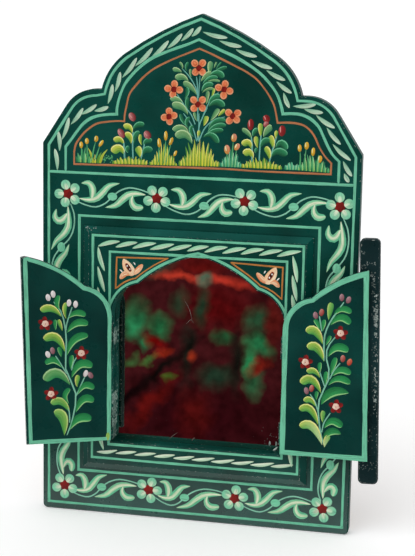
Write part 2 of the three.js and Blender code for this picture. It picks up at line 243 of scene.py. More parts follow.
floor_paint, floor_tree, floor_shader = new_material("matt_white_floor_paint")
fill(floor_tree, floor_shader, {
    "Base Color": "#ffffff", "Roughness": 1.0, "Specular IOR Level": 0.0,
    "Emission Color": "#ffffff"})
floor_seen = seen_or_mirrored(floor_tree)
floor_lift = add_node(floor_tree, "Math", {0: floor_seen, 1: FLOOR_LIFT}, operation="MULTIPLY")
fill(floor_tree, floor_shader, {"Emission Strength": floor_lift})
FLOOR_LEVEL = BOARD_BOTTOM - FLOOR_GAP
floor_corners = [(x, y, FLOOR_LEVEL) for x, y in (
    (-FLOOR_HALF, -FLOOR_HALF), (FLOOR_HALF, -FLOOR_HALF),
    (FLOOR_HALF, FLOOR_HALF), (-FLOOR_HALF, FLOOR_HALF))]
floor = plain_mesh("floor", floor_corners, [(0, 1, 2, 3)], floor_paint)
floor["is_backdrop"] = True
print("floor at", round(FLOOR_LEVEL, 4))

# %% [markdown]
# ## The cloth in the glass
# A mirror shows what stands before it, and in the photo that is a dark red and green cloth. A
# tilted sheet with blurred patches stands for it, and only reflections see it. It glows with
# its own light instead of being lit, so the glass shows it at a steady brightness. Each patch was
# picked on an enlarged crop of the glass, and the script follows the ray from the camera to
# that point of the glass and on to the sheet. Noise ruffles the patches' rims.

# %% The cloth that the glass shows
CLOTH_NEAR = 120 * MM
CLOTH_FAR = 700 * MM
CLOTH_TOP = 1900 * MM
CLOTH_HALF_WIDTH = 2600 * MM
CLOTH_GROUND = "#46161a"
GLASS_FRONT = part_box("mirror_glass")[0].y
REFLECTION_LEFT = 105
REFLECTION_TOP = 250
REFLECTION_ENLARGED = 7.293
# Each patch: its colour, its middle, its half width and half height, and its lean
CLOTH_PATCHES = (
    ("#3f4638", (400, 110), 130, 60, -20), ("#360b11", (700, 1250), 760, 300, 0),
    ("#6a1413", (700, 120), 190, 90, 0),
    ("#5e0d10", (830, 420), 260, 150, 0), ("#31402e", (540, 389), 60, 85, 10),
    ("#2a3d2c", (717, 413), 52, 125, 0), ("#24382a", (814, 936), 130, 88, 0),
    ("#2b6b44", (205, 500), 96, 130, 12), ("#33935f", (225, 560), 50, 92, 16),
    ("#2b7347", (396, 560), 95, 74, 20), ("#2f7d50", (280, 690), 60, 52, 0),
    ("#20221c", (600, 740), 46, 240, 0), ("#7a0d0c", (360, 680), 90, 45, 15),
    ("#a12c1c", (430, 745), 62, 30, -32), ("#b03720", (640, 768), 30, 42, 0),
    ("#2a5534", (863, 637), 80, 44, 0), ("#2c5036", (1106, 520), 84, 110, 0),
    ("#2b7a4c", (1125, 700), 106, 62, 25), ("#2f8a55", (1045, 820), 50, 115, 0),
    ("#33603f", (1090, 985), 74, 88, 0), ("#8f251b", (1110, 860), 80, 50, -40),
    ("#651c19", (1230, 500), 60, 190, 0), ("#1d1a16", (950, 800), 50, 240, 0),
    ("#160f0e", (400, 880), 360, 34, -46), ("#651211", (330, 1120), 250, 60, -48),
    ("#19080b", (190, 1050), 220, 40, -46), ("#4b5c22", (470, 940), 46, 26, 0),
    ("#47683a", (195, 826), 70, 42, -25), ("#4a6c35", (340, 800), 60, 26, -30),
    ("#561010", (650, 1190), 130, 150, 0), ("#d6402f", (540, 200), 185, 32, 7),
    ("#d23b2d", (890, 243), 165, 36, 8), ("#5c6e5a", (730, 225), 42, 52, 0),
)
PATCH_RIM = {LOW: 1.45, HIGH: 0.28}
CLOTH_RUFFLE = 20 * MM
RIPPLES_PER_METRE = 55.0
WEAVE_MM = 9
WEAVE_BAND = {LOW: 0.3, HIGH: 0.7}
WEAVE_SHADE = "#b4b4b4"
CLOTH_GLOW = 1.1

near, far = BOARD_FRONT - CLOTH_NEAR, BOARD_FRONT - CLOTH_FAR
cloth_low = FLOOR_LEVEL + FLOOR_GAP
CLOTH_FOOT = Vector((0, near, cloth_low))
CLOTH_RISE = (Vector((0, far, cloth_low + CLOTH_TOP)) - CLOTH_FOOT).normalized()
CLOTH_OUT = Vector((1, 0, 0)).cross(CLOTH_RISE)


def seen_in_glass(x, y):
    """The spot on the cloth that the glass shows at a point picked on its enlarged crop."""
    pixel_x = REFLECTION_LEFT + x / REFLECTION_ENLARGED
    pixel_y = REFLECTION_TOP + y / REFLECTION_ENLARGED
    sideways = RIGHT * (pixel_x - PICTURE_WIDTH / 2) + UP * (PICTURE_HEIGHT / 2 - pixel_y)
    ray = LOOK * FOCAL_PIXELS + sideways
    met = EYE + ray * ((GLASS_FRONT - EYE.y) / ray.y)
    ray.y = -ray.y
    return met + ray * ((CLOTH_FOOT - met).dot(CLOTH_OUT) / ray.dot(CLOTH_OUT))


def printed_cotton():
    """Cotton dyed dark red with blurred figures, glowing with its own light."""
    material, tree, shader = new_material("printed_cotton")
    place = add_node(tree, "TexCoord", output="Object")
    ripple = add_node(
        tree, "TexNoise", {"Vector": place, "Scale": RIPPLES_PER_METRE, "Detail": 3.0}, "Color")
    ripple = add_node(tree, "VectorMath", {0: ripple, "Scale": CLOTH_RUFFLE}, operation="SCALE")
    moved = add_node(tree, "VectorMath", {0: place, 1: ripple}, operation="ADD")
    settled = (-CLOTH_RUFFLE / 2,) * 3
    moved = add_node(tree, "VectorMath", {0: moved, 1: settled}, operation="ADD")
    colour = CLOTH_GROUND
    for paint, (x, y), wide, tall, lean in CLOTH_PATCHES:
        middle = seen_in_glass(x, y)
        half_wide = (seen_in_glass(x + wide, y) - middle).length
        half_tall = (seen_in_glass(x, y + tall) - middle).length
        turn = Matrix((Vector((1, 0, 0)), CLOTH_RISE, CLOTH_OUT)).transposed()
        turn = turn @ Matrix.Rotation(math.radians(-lean), 3, "Z")
        fitted = add_node(
            tree, "Mapping", {
                "Vector": moved, "Location": middle, "Rotation": turn.to_euler(),
                "Scale": (half_wide, half_tall, 1.0)}, vector_type="TEXTURE")
        away = add_node(tree, "VectorMath", {0: fitted}, "Value", operation="LENGTH")
        inside = add_node(tree, "MapRange", {"Value": away, **PATCH_RIM})
        colour = add_node(tree, "Mix", {SHARE: inside, UNDER: colour, OVER: paint}, **COLOURS)
    weave = mottled(tree, WEAVE_MM, band=WEAVE_BAND)
    shade = add_node(tree, "Mix", {SHARE: weave, UNDER: WEAVE_SHADE, OVER: "#ffffff"}, **COLOURS)
    colour = add_node(tree, "Mix", {SHARE: 1.0, UNDER: colour, OVER: shade}, **TINTS)
    # The cloth is not lit: its glow is painted light that the glass reflects
    fill(tree, shader, {
        "Emission Color": colour, "Emission Strength": CLOTH_GLOW, "Base Color": "#000000",
        "Specular IOR Level": 0.0})
    return material


cloth_corners = [
    (-CLOTH_HALF_WIDTH, near, cloth_low), (CLOTH_HALF_WIDTH, near, cloth_low),
    (CLOTH_HALF_WIDTH, far, cloth_low + CLOTH_TOP), (-CLOTH_HALF_WIDTH, far, cloth_low + CLOTH_TOP),
]
cloth = plain_mesh("cloth_before_the_mirror", cloth_corners, [(3, 2, 1, 0)], printed_cotton())
cloth.visible_camera = False
cloth.visible_diffuse = False
cloth.visible_shadow = False
cloth.visible_transmission = False
cloth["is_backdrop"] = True
print("the cloth has", len(CLOTH_PATCHES), "patches and starts", CLOTH_NEAR, "m in front")

# %% [markdown]
# ## The green ground
# The wood is primed white and then brushed with two coats of dark green alkyd enamel. What the
# eye sees is a deep colour under a soft gloss, fine bristle marks that run along the brush, and
# small chips on the arrises, where the white primer shows. The chips come from the Bevel node:
# its normal differs from the true one only near an edge, and noise breaks that band up.

# %% Chips on the arrises
CHIP_MM = 1.5
CHIP_STARTS = 0.62
CHIP_IS_WHOLE = 0.66
ARRIS_BAND = {LOW: 0.995, HIGH: 0.93}


def chips_on_arrises(tree, soft, normal, wear):
    """Where paint has chipped off: flakes of noise in the band along each edge. More wear
    gives more of them."""
    likeness = add_node(tree, "VectorMath", {0: soft, 1: normal}, "Value", operation="DOT_PRODUCT")
    arris = add_node(tree, "MapRange", {"Value": likeness, **ARRIS_BAND})
    chipped = {LOW: CHIP_STARTS - wear, HIGH: CHIP_IS_WHOLE - wear}
    flakes = mottled(tree, CHIP_MM, detail=4, band=chipped)
    return add_node(tree, "Math", {0: arris, 1: flakes}, operation="MULTIPLY")


print("chips are about", CHIP_MM, "mm long")

# %% [markdown]
# The same enamel doesn't look alike on every face. The pale table shines on the foot of the
# board and glares on what looks down, and the sides hardly shine. The chamfer on top of the
# surround gets a painted highlight of lighter enamel, and the walls inside the window get paler
# enamel as painted light. The direction in which a face looks tells all these apart, so one
# material can hold them.

# %% Shine, ledges and window walls
ENAMEL_SHINE = 0.17
TABLE_SHINE = 0.74
TABLE_GLOW_HEIGHT = 105 * MM
SIDE_SHINE = 0.02
FLOOR_GLARE = 0.7
LOOKS_FORWARD = {LOW: 0.8, HIGH: 0.98}
LOOKS_DOWN = {LOW: -0.3, HIGH: -0.6}
LOOKS_UP = {LOW: 0.3, HIGH: 0.45}
LOOKS_SIDEWAYS = {LOW: 0.6, HIGH: 0.9}
# Painted highlight: the surround's upward chamfer gets these lighter greens, as if lit from above
LEDGE_HIGHLIGHT_DARK = "#063b34"
LEDGE_HIGHLIGHT_PALE = "#12594f"
# Painted light: the walls inside the window get these paler greens, as if light reached in
REVEAL_PAINTED_LIGHT_DARK = "#124f48"
REVEAL_PAINTED_LIGHT_PALE = "#2b8577"
REVEAL_REACH = 112 * MM


def shine_by_facing(tree, looks):
    """Gloss on the faces that look forward or down, and hardly any on the sides."""
    place = add_node(tree, "TexCoord", output="Object")
    height = add_node(tree, "SeparateXYZ", {0: place}, "Z")
    front = add_node(tree, "MapRange", {
        "Value": height, LOW: BOARD_BOTTOM + TABLE_GLOW_HEIGHT, HIGH: BOARD_BOTTOM,
        TO_LOW: ENAMEL_SHINE, TO_HIGH: TABLE_SHINE})
    facing = add_node(tree, "Math", {0: looks["Y"]}, operation="ABSOLUTE")
    shine = add_node(tree, "MapRange", {
        "Value": facing, **LOOKS_FORWARD, TO_LOW: SIDE_SHINE, TO_HIGH: front})
    glare = add_node(tree, "MapRange", {"Value": looks["Z"], **LOOKS_DOWN, TO_HIGH: FLOOR_GLARE})
    return add_node(tree, "Math", {0: shine, 1: glare}, operation="MAXIMUM")


def painted_ledge_highlight(tree, looks, tone, colour):
    """Painted highlight: lighter enamel on the faces that look up."""
    ledge = add_node(tree, "MapRange", {"Value": looks["Z"], **LOOKS_UP})
    lit = add_node(tree, "Mix", {SHARE: tone, UNDER: LEDGE_HIGHLIGHT_DARK, OVER: LEDGE_HIGHLIGHT_PALE}, **COLOURS)
    return add_node(tree, "Mix", {SHARE: ledge, UNDER: colour, OVER: lit}, **COLOURS)


def painted_light_on_reveal(tree, looks, tone, chips, colour):
    """Painted light: paler enamel on the window's walls, wherever it hasn't chipped off."""
    place = add_node(tree, "TexCoord", output="Object")
    away = add_node(tree, "VectorMath", {0: place}, "Value", operation="LENGTH")
    inside = add_node(tree, "Math", {0: away, 1: REVEAL_REACH}, operation="LESS_THAN")
    sideways = add_node(tree, "Math", {0: looks["X"]}, operation="ABSOLUTE")
    upright = add_node(tree, "MapRange", {"Value": sideways, **LOOKS_SIDEWAYS})
    reveal = add_node(tree, "Math", {0: inside, 1: upright}, operation="MULTIPLY")
    painted = add_node(tree, "Math", {0: 1.0, 1: chips}, operation="SUBTRACT")
    reveal = add_node(tree, "Math", {0: reveal, 1: painted}, operation="MULTIPLY")
    paler_painted_light = add_node(tree, "Mix", {SHARE: tone, UNDER: REVEAL_PAINTED_LIGHT_DARK, OVER: REVEAL_PAINTED_LIGHT_PALE}, **COLOURS)
    return add_node(tree, "Mix", {SHARE: reveal, UNDER: colour, OVER: paler_painted_light}, **COLOURS)


print("the foot shines", round(TABLE_SHINE / ENAMEL_SHINE, 1), "times as much as the crown")

# %% [markdown]
# The wall side of the board is left bare. Its wood is a pale softwood whose rings show as long
# streaks up the grain, so its noise is stretched forty times along the height.

# %% Bare wood behind
BARE_WOOD = "#a5835a"
BARE_WOOD_DARK = "#8a6a45"
BARE_DULLNESS = 0.8
RING_MM = 2.2
UP_THE_GRAIN = (1, 1, 40)
BACK_TOLERANCE = 0.05 * MM
MIDDLE_BAND = {LOW: 0.35, HIGH: 0.65}


def bare_behind(tree, colour, roughness):
    """Paint that ends on the board's back face and leaves the wood dull and bare."""
    place = add_node(tree, "TexCoord", output="Object")
    depth = add_node(tree, "SeparateXYZ", {0: place}, "Y")
    behind = add_node(
        tree, "Math", {0: depth, 1: BOARD_BACK - BACK_TOLERANCE}, operation="GREATER_THAN")
    rings = mottled(tree, RING_MM, UP_THE_GRAIN, 4, MIDDLE_BAND)
    wood = add_node(tree, "Mix", {SHARE: rings, UNDER: BARE_WOOD_DARK, OVER: BARE_WOOD}, **COLOURS)
    colour = add_node(tree, "Mix", {SHARE: behind, UNDER: colour, OVER: wood}, **COLOURS)
    dullness = add_node(tree, "Math", {0: behind, 1: BARE_DULLNESS}, operation="MULTIPLY")
    return colour, add_node(tree, "Math", {0: roughness, 1: dullness}, operation="MAXIMUM")


print("rings are", RING_MM, "mm apart")

# %% [markdown]
# Now the enamel itself. Broad clouds of two greens and fine bristle marks make its tone, the
# marks raise its surface a little, and it levels out unevenly, which varies its gloss.

# %% Brushed enamel
ENAMEL_DARK = "#01352d"
ENAMEL_LIGHT = "#034a41"
PRIMER_WHITE = "#cfd2c8"
PRIMER_DULLNESS = 0.8
CLOUD_MM = 45
LEVELLING_MM = 15
BRISTLE_SPACING_MM = 0.55
BRISTLE_LENGTH_SHARE = 30
BRISTLE_HEIGHT = 0.05 * MM
BRISTLE_STRENGTH = 0.25
BRISTLE_TONE = {LOW: 0.2, HIGH: 0.8, TO_LOW: 0.7}
LEVELLED_DULLNESS = {LOW: 0.3, HIGH: 0.7, TO_LOW: 0.24, TO_HIGH: 0.36}
ARRIS_RADIUS = 0.5 * MM


def brushed_enamel(
        name, grain, wear, dark=ENAMEL_DARK, light=ENAMEL_LIGHT,
        raw_back=False, fixed=False, raised=False):
    """Enamel brushed along the axis that has the long stretch, with a share of its arrises
    chipped down to the primer. Fixed wood shines by the way it faces and gets paler enamel on
    its window walls as painted light, and raised wood gets a painted highlight on its ledges."""
    material, tree, shader = new_material(name)
    clouds = mottled(tree, CLOUD_MM, band=MIDDLE_BAND)
    bristles = mottled(tree, BRISTLE_SPACING_MM, grain, detail=2)
    streaks = add_node(tree, "MapRange", {"Value": bristles, **BRISTLE_TONE})
    tone = add_node(tree, "Math", {0: clouds, 1: streaks}, operation="MULTIPLY")
    colour = add_node(tree, "Mix", {SHARE: tone, UNDER: dark, OVER: light}, **COLOURS)
    soft = add_node(tree, "Bevel", {"Radius": ARRIS_RADIUS}, samples=4)
    normal = add_node(tree, "NewGeometry", output="Normal")
    chips = chips_on_arrises(tree, soft, normal, wear)
    colour = add_node(tree, "Mix", {SHARE: chips, UNDER: colour, OVER: PRIMER_WHITE}, **COLOURS)
    levelling = mottled(tree, LEVELLING_MM, band=LEVELLED_DULLNESS)
    dullness = add_node(tree, "Math", {0: chips, 1: PRIMER_DULLNESS}, operation="MULTIPLY")
    roughness = add_node(tree, "Math", {0: levelling, 1: dullness}, operation="MAXIMUM")
    shine = ENAMEL_SHINE
    if raw_back:
        colour, roughness = bare_behind(tree, colour, roughness)
    if fixed:
        looks = {axis: add_node(tree, "SeparateXYZ", {0: normal}, axis) for axis in "XYZ"}
        shine = shine_by_facing(tree, looks)
        # Paler enamel on the walls inside the window is painted light
        colour = painted_light_on_reveal(tree, looks, tone, chips, colour)
    # Raised wood gets a painted highlight on the faces that look up
    if raised:
        colour = painted_ledge_highlight(tree, looks, tone, colour)
    bump = add_node(tree, "Bump", {
        "Strength": BRISTLE_STRENGTH, "Distance": BRISTLE_HEIGHT, "Height": bristles,
        "Normal": soft})
    fill(tree, shader, {
        "Base Color": colour, "Roughness": roughness, "Normal": bump,
        "Specular IOR Level": shine})
    return material


ALONG_X = (BRISTLE_LENGTH_SHARE, 1, 1)
ALONG_Z = (1, 1, BRISTLE_LENGTH_SHARE)
board_enamel = brushed_enamel("brushed_enamel_board", ALONG_X, 0.0, raw_back=True, fixed=True)
surround_enamel = brushed_enamel(
    "brushed_enamel_surround", ALONG_X, 0.05, fixed=True, raised=True)
door_enamel = brushed_enamel("brushed_enamel_doors", ALONG_Z, 0.1, "#02302c", "#05423b")
strip_enamel = brushed_enamel("brushed_enamel_strip", ALONG_Z, 0.04, "#0c2426", "#163739")
hinge_enamel = brushed_enamel("brushed_enamel_hinges", ALONG_Z, 0.12, "#04342d", "#0a4a40")


def dress(material, *names):
    """CAD nodes keep their shape and get a finish in their first slot."""
    for name in names:
        slots = NODES[name].data.materials
        slots.clear()
        slots.append(material)
    print(material.name, "is on", len(names), "nodes")


dress(board_enamel, "face_board")
dress(surround_enamel, "raised_surround")
dress(door_enamel, "left_door", "right_door")
dress(strip_enamel, "cover_strip")
dress(hinge_enamel, *[n for n in NODES if n.endswith("_leaf")])

# %% [markdown]
# ## Glass, board and steel
# The mirror is float glass silvered on its back. All of its light comes from the silver, so a
# metal with almost no roughness gives it, a little green as cheap glass is. The backing is
# hardboard, a brown mat of pressed fibres. The screws, pins and hanger are zinc-plated steel,
# whose small crystals break its shine up.

# %% Silvered glass, hardboard and zinc plate
GLASS_TINT = "#e9efea"
FILM_MM = 20
FILM_DULLNESS = {LOW: 0.45, HIGH: 0.75, TO_LOW: 0.015, TO_HIGH: 0.07}
FIBRE_MM = 0.7
FIBRE_STRETCH = (4, 1, 1)
FIBRE_STRENGTH = 0.4
FIBRE_HEIGHT = 0.1 * MM
FELT_MM = 14
FELT_BAND = {LOW: 0.7, HIGH: 1.3}
HARDBOARD_DARK = "#5a3a22"
HARDBOARD_LIGHT = "#8c6440"
HARDBOARD_DULLNESS = 0.75
ZINC_DARK = "#8b9093"
ZINC_LIGHT = "#b3b8ba"
CRYSTAL_MM = 1.2
CRYSTAL_DULLNESS = {LOW: 0.3, HIGH: 0.7, TO_LOW: 0.28, TO_HIGH: 0.45}


def silvered_float_glass():
    """Silvered glass, with a faint dusty film that dulls it in patches."""
    material, tree, shader = new_material("silvered_float_glass")
    film = mottled(tree, FILM_MM, band=FILM_DULLNESS)
    fill(tree, shader, {"Base Color": GLASS_TINT, "Metallic": 1.0, "Roughness": film})
    return material


def pressed_hardboard():
    """Hardboard: short brown fibres pressed flat, dull and slightly uneven."""
    material, tree, shader = new_material("pressed_hardboard")
    fibres = mottled(tree, FIBRE_MM, FIBRE_STRETCH, detail=5)
    felt = add_node(tree, "Math", {0: fibres, 1: mottled(tree, FELT_MM)}, operation="ADD")
    tone = add_node(tree, "MapRange", {"Value": felt, **FELT_BAND})
    colour = add_node(
        tree, "Mix", {SHARE: tone, UNDER: HARDBOARD_DARK, OVER: HARDBOARD_LIGHT}, **COLOURS)
    bump = add_node(tree, "Bump", {
        "Strength": FIBRE_STRENGTH, "Distance": FIBRE_HEIGHT, "Height": fibres})
    fill(tree, shader, {"Base Color": colour, "Normal": bump, "Roughness": HARDBOARD_DULLNESS})
    return material


def zinc_plate():
    """Zinc plate: cool grey metal whose small crystals vary in shine."""
    material, tree, shader = new_material("zinc_plated_steel")
    crystals = mottled(tree, CRYSTAL_MM, detail=2)
    tone = add_node(tree, "MapRange", {"Value": crystals, **MIDDLE_BAND})
    colour = add_node(tree, "Mix", {SHARE: tone, UNDER: ZINC_DARK, OVER: ZINC_LIGHT}, **COLOURS)
    roughness = add_node(tree, "MapRange", {"Value": crystals, **CRYSTAL_DULLNESS})
    fill(tree, shader, {"Base Color": colour, "Roughness": roughness, "Metallic": 1.0})
    return material


zinc = zinc_plate()
dress(silvered_float_glass(), "mirror_glass")
dress(pressed_hardboard(), "backing_board")
dress(zinc, "sawtooth_hanger", *[n for n in NODES if "_screw_" in n or n.endswith("_pin")])

# %% [markdown]
# ## Painted faces
# The painter works flat on each face before the mirror is hung. A canvas is such a face: a
# corner, a direction across and a direction up. It turns millimetres into places in the scene,
# and it can also find the spot that lies behind a point of the photo, which is how the freehand
# flowers are copied. The doors are painted closed and then turned open about their hinges.

# %% Canvases
class Canvas:
    """A flat painted face. u runs across it and v runs up it, in millimetres."""

    def __init__(self, corner, across, turn=None):
        turn = turn or Matrix()
        self.corner = turn @ Vector(corner)
        self.across = turn.to_3x3() @ Vector(across)
        self.up = Vector((0, 0, 1))
        self.out = self.across.cross(self.up)

    def at(self, u, v, lift=0.0):
        """The place in the scene, with a lift off the wood in millimetres."""
        return self.corner + (self.across * u + self.up * v + self.out * lift) * MM

    def flat(self, place):
        """A place in the scene as u and v."""
        reach = place - self.corner
        return Vector((reach.dot(self.across), reach.dot(self.up))) / MM

    def under_pixel(self, x, y):
        """The u and v that lie behind a point of the photo."""
        sideways = RIGHT * (x - PICTURE_WIDTH / 2) + UP * (PICTURE_HEIGHT / 2 - y)
        ray = LOOK * FOCAL_PIXELS + sideways
        reach = (self.corner - EYE).dot(self.out) / ray.dot(self.out)
        return self.flat(EYE + ray * reach)


class Tracing:
    """Points picked on an enlarged crop of the photo, as u and v on a canvas."""

    def __init__(self, canvas, left, top, enlarged):
        self.canvas = canvas
        self.left = left
        self.top = top
        self.enlarged = enlarged

    def places(self, points):
        """A list of picked points as places on the canvas."""
        return [
            self.canvas.under_pixel(self.left + x / self.enlarged, self.top + y / self.enlarged)
            for x, y in points
        ]

    def turned_over(self, points):
        """The picked points as they lie on the other face of the same board."""
        return [Vector((-place.x, place.y)) for place in self.places(points)]


def opened_by(joint):
    """The turn that takes a door from shut to the place where it stands now."""
    pivot = Vector(joint["pos_m"])
    turn = Matrix.Rotation(math.radians(-joint["range_deg"][0]), 4, Vector(joint["axis"]))
    return Matrix.Translation(pivot) @ turn @ Matrix.Translation(-pivot)


JOINTS = {joint["child"]: joint for joint in frame["joints"]}
SURROUND_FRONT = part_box("raised_surround")[0].y
DOORS = ("left_door", "right_door")
board_face = Canvas((0, BOARD_FRONT, BOARD_BOTTOM), (1, 0, 0))
surround_face = Canvas((0, SURROUND_FRONT, BOARD_BOTTOM), (1, 0, 0))
inner_faces = {}
outer_faces = {}
for door in DOORS:
    pivot_x = JOINTS[door]["pos_m"][0]
    swing = opened_by(JOINTS[door])
    inner_faces[door] = Canvas((pivot_x, BOARD_FRONT, BOARD_BOTTOM), (-1, 0, 0), swing)
    outer_faces[door] = Canvas((pivot_x, SURROUND_FRONT, BOARD_BOTTOM), (1, 0, 0), swing)
print("left door's inner face looks", [round(c, 2) for c in inner_faces["left_door"].out])

# %% [markdown]
# ## Tacks in the hinges
# Each hinge plate is held by two round-headed tacks, and the enamel was brushed right over
# them. A head is a low dome: rings of points whose radius follows a cosine and whose height
# follows a sine. They are so low that the plates can still fold flat on each other.

# %% Tacks
TACK_RADIUS = 1.15
TACK_HEIGHT = 0.36
TACK_FROM_AXIS = 6.2
TACK_SPACING = 9.0
LEAF_FRONT = 1.0
TACK_SIDES = 14
TACK_RINGS = 4


def dome_corners(canvas, middle):
    """The corners of one low dome, ring by ring, and last its top."""
    corners = []
    for ring in range(TACK_RINGS):
        rise = ring / TACK_RINGS * math.pi / 2
        for side in range(TACK_SIDES):
            around = side / TACK_SIDES * math.tau
            out = Vector((math.cos(around), math.sin(around))) * math.cos(rise) * TACK_RADIUS
            spot = middle + out
            corners.append(canvas.at(spot.x, spot.y, LEAF_FRONT + TACK_HEIGHT * math.sin(rise)))
    return [*corners, canvas.at(middle.x, middle.y, LEAF_FRONT + TACK_HEIGHT)]


def dome_faces(first):
    """The faces of a dome whose first corner has this number."""
    faces = []
    last = first + (TACK_RINGS - 1) * TACK_SIDES
    top = last + TACK_SIDES
    for side in range(TACK_SIDES):
        after = (side + 1) % TACK_SIDES
        for low in range(first, last, TACK_SIDES):
            high = low + TACK_SIDES
            faces.append((low + side, low + after, high + after, high + side))
        faces.append((last + side, last + after, top))
    return faces


def tack_heads(name, body, canvas, middles):
    """Low domes on a canvas, each round its middle, gathered in one mesh."""
    corners, faces = [], []
    for middle in middles:
        faces += dome_faces(len(corners))
        corners += dome_corners(canvas, middle)
    heads = plain_mesh(name, corners, faces, hinge_enamel)
    heads.data.polygons.foreach_set("use_smooth", [True] * len(faces))
    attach(heads, body)
    print(name, "holds", len(middles), "heads")


for door in DOORS:
    side = door.split("_")[0]
    inward = 1 if side == "left" else -1
    rows = []
    for row in ("lower", "upper"):
        low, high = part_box(f"{row}_{side}_hinge_frame_leaf")
        rows.append(((low + high).z / 2 - BOARD_BOTTOM) / MM)
    beside = Canvas((JOINTS[door]["pos_m"][0], SURROUND_FRONT, BOARD_BOTTOM), (1, 0, 0))
    for body, canvas, way in (("frame", beside, -inward), (door, outer_faces[door], inward)):
        middles = [
            Vector((way * TACK_FROM_AXIS, row + step * TACK_SPACING / 2))
            for row in rows for step in (-1, 1)]
        tack_heads(f"{side}_hinge_tacks_on_{body}", body, canvas, middles)

# %% [markdown]
# ## One brush stroke
# A loaded brush leaves a ridge of paint that is thick in the middle and thin at its rims. Each
# stroke is a narrow strip of mesh along a curve, five points across, and its width follows a
# simple formula of the way along: t to one power times 1 - t to another. Small powers give a
# blunt end, large powers a pointed one. The colours of a stroke are kept on its points, two
# for each end, because folk painters dip each side of the brush in a different colour.

# %% Curves
CURVE_STEP = 1.5
SHARPEST = 0.5


def curve_through(places, step=CURVE_STEP):
    """A Catmull-Rom curve through the places, cut into short steps of about one length."""
    if len(places) < 2:
        return list(places)
    ends = [places[0] * 2 - places[1], *places, places[-1] * 2 - places[-2]]
    line = []
    for before, start, end, after in zip(ends, ends[1:], ends[2:], ends[3:]):
        pieces = max(2, math.ceil((end - start).length / step))
        for index in range(pieces):
            t = index / pieces
            line.append(
                start + (end - before) * (t / 2)
                + (before * 2 - start * 5 + end * 4 - after) * (t * t / 2)
                + (start * 3 - before - end * 3 + after) * (t * t * t / 2)
            )
    line.append(places[-1])
    return line


def lengths_along(line):
    """The way gone at each point of a line."""
    gone = [0.0]
    for here, there in zip(line, line[1:]):
        gone.append(gone[-1] + (there - here).length)
    return gone


def resampled(line, count):
    """The line in a number of steps that are closer together at its ends."""
    gone = lengths_along(line)
    points = []
    index = 0
    for step in range(count + 1):
        want = gone[-1] * (1 - math.cos(math.pi * step / count)) / 2
        while index < len(line) - 2 and gone[index + 1] < want:
            index += 1
        span = gone[index + 1] - gone[index] or 1.0
        points.append(line[index].lerp(line[index + 1], (want - gone[index]) / span))
    return points


def sides_of(line, closed=False):
    """The sideways direction at each point, longer on a corner so that the width holds."""
    count = len(line)
    sides = []
    for index in range(count):
        before = line[index - 1] if index or closed else line[index]
        after = line[(index + 1) % count] if index < count - 1 or closed else line[index]
        came = line[index] - before
        goes = after - line[index]
        came = came if came.length else goes
        goes = goes if goes.length else came
        came = Vector((-came.y, came.x)).normalized()
        goes = Vector((-goes.y, goes.x)).normalized()
        sides.append((came + goes) / max(SHARPEST, 1 + came.dot(goes)))
    return sides


bend = curve_through([Vector((0, 0)), Vector((3, 4)), Vector((9, 4))])
print("a bend through three places has", len(bend), "points")

# %% Widths and colours along a stroke
EVEN = (0.03, 0.03)
ROUND = (0.5, 0.5)
LENS = (0.75, 0.75)
LEAF = (0.95, 0.42)
HEADED = (0.95, 0.34)
POINTED = (0.9, 0.8)
GRASS = (0.2, 0.8)
SLOW_SWAY, SLOW_LENGTH = 0.09, 11
QUICK_SWAY, QUICK_LENGTH = 0.05, 3.7


def width_share(profile, t):
    """How wide a stroke is at t along it, as a share of its widest."""
    first, last = profile
    peak = first / (first + last)
    top = peak ** first * (1 - peak) ** last
    return (t ** first * (1 - t) ** last / top) if 0 < t < 1 else 0.0


def unsteady(way, start):
    """How a ruled line's width sways, as a hand presses now more and now less."""
    slow = SLOW_SWAY * math.sin(way / SLOW_LENGTH + start)
    return 1 + slow + QUICK_SWAY * math.sin(way / QUICK_LENGTH - start)


def mixed(first, second, share):
    """A colour between two linear colours."""
    return tuple(a + (b - a) * share for a, b in zip(first, second))


def four_corners(paint):
    """One colour, or two for the sides of the brush, as the four corners of a stroke."""
    every = paint * 4 if len(paint) < 3 else paint
    return [linear(colour) for colour in every[:4]]


for profile in (ROUND, LENS, LEAF, GRASS):
    print(profile, "swells as", [round(width_share(profile, t / 5), 2) for t in range(1, 5)])

# %% [markdown]
# A painting gathers the strokes of one piece in one mesh, so that the scene stays light.
# Strokes of one layer take turns at five heights a few thousandths of a millimetre apart: two
# that cross never lie in exactly the same plane, where they would flicker.

# %% Paintings
STROKE_SECTION = ((-1.0, -0.02), (-0.6, 0.07), (0.0, 0.1), (0.6, 0.07), (1.0, -0.02))
LAYER_LIFT = 0.02
TURN_LIFT = 0.003
TURNS = 5
FULLNESS = 1.5
FEWEST_STEPS = 6
MOST_STEPS = 16
DAB_STEPS = 8
LINE_STEP = CURVE_STEP * 1.4
SAME_PLACE = 0.05
BRISTLE_SHIFT = 3.7
hand = random.Random(7)


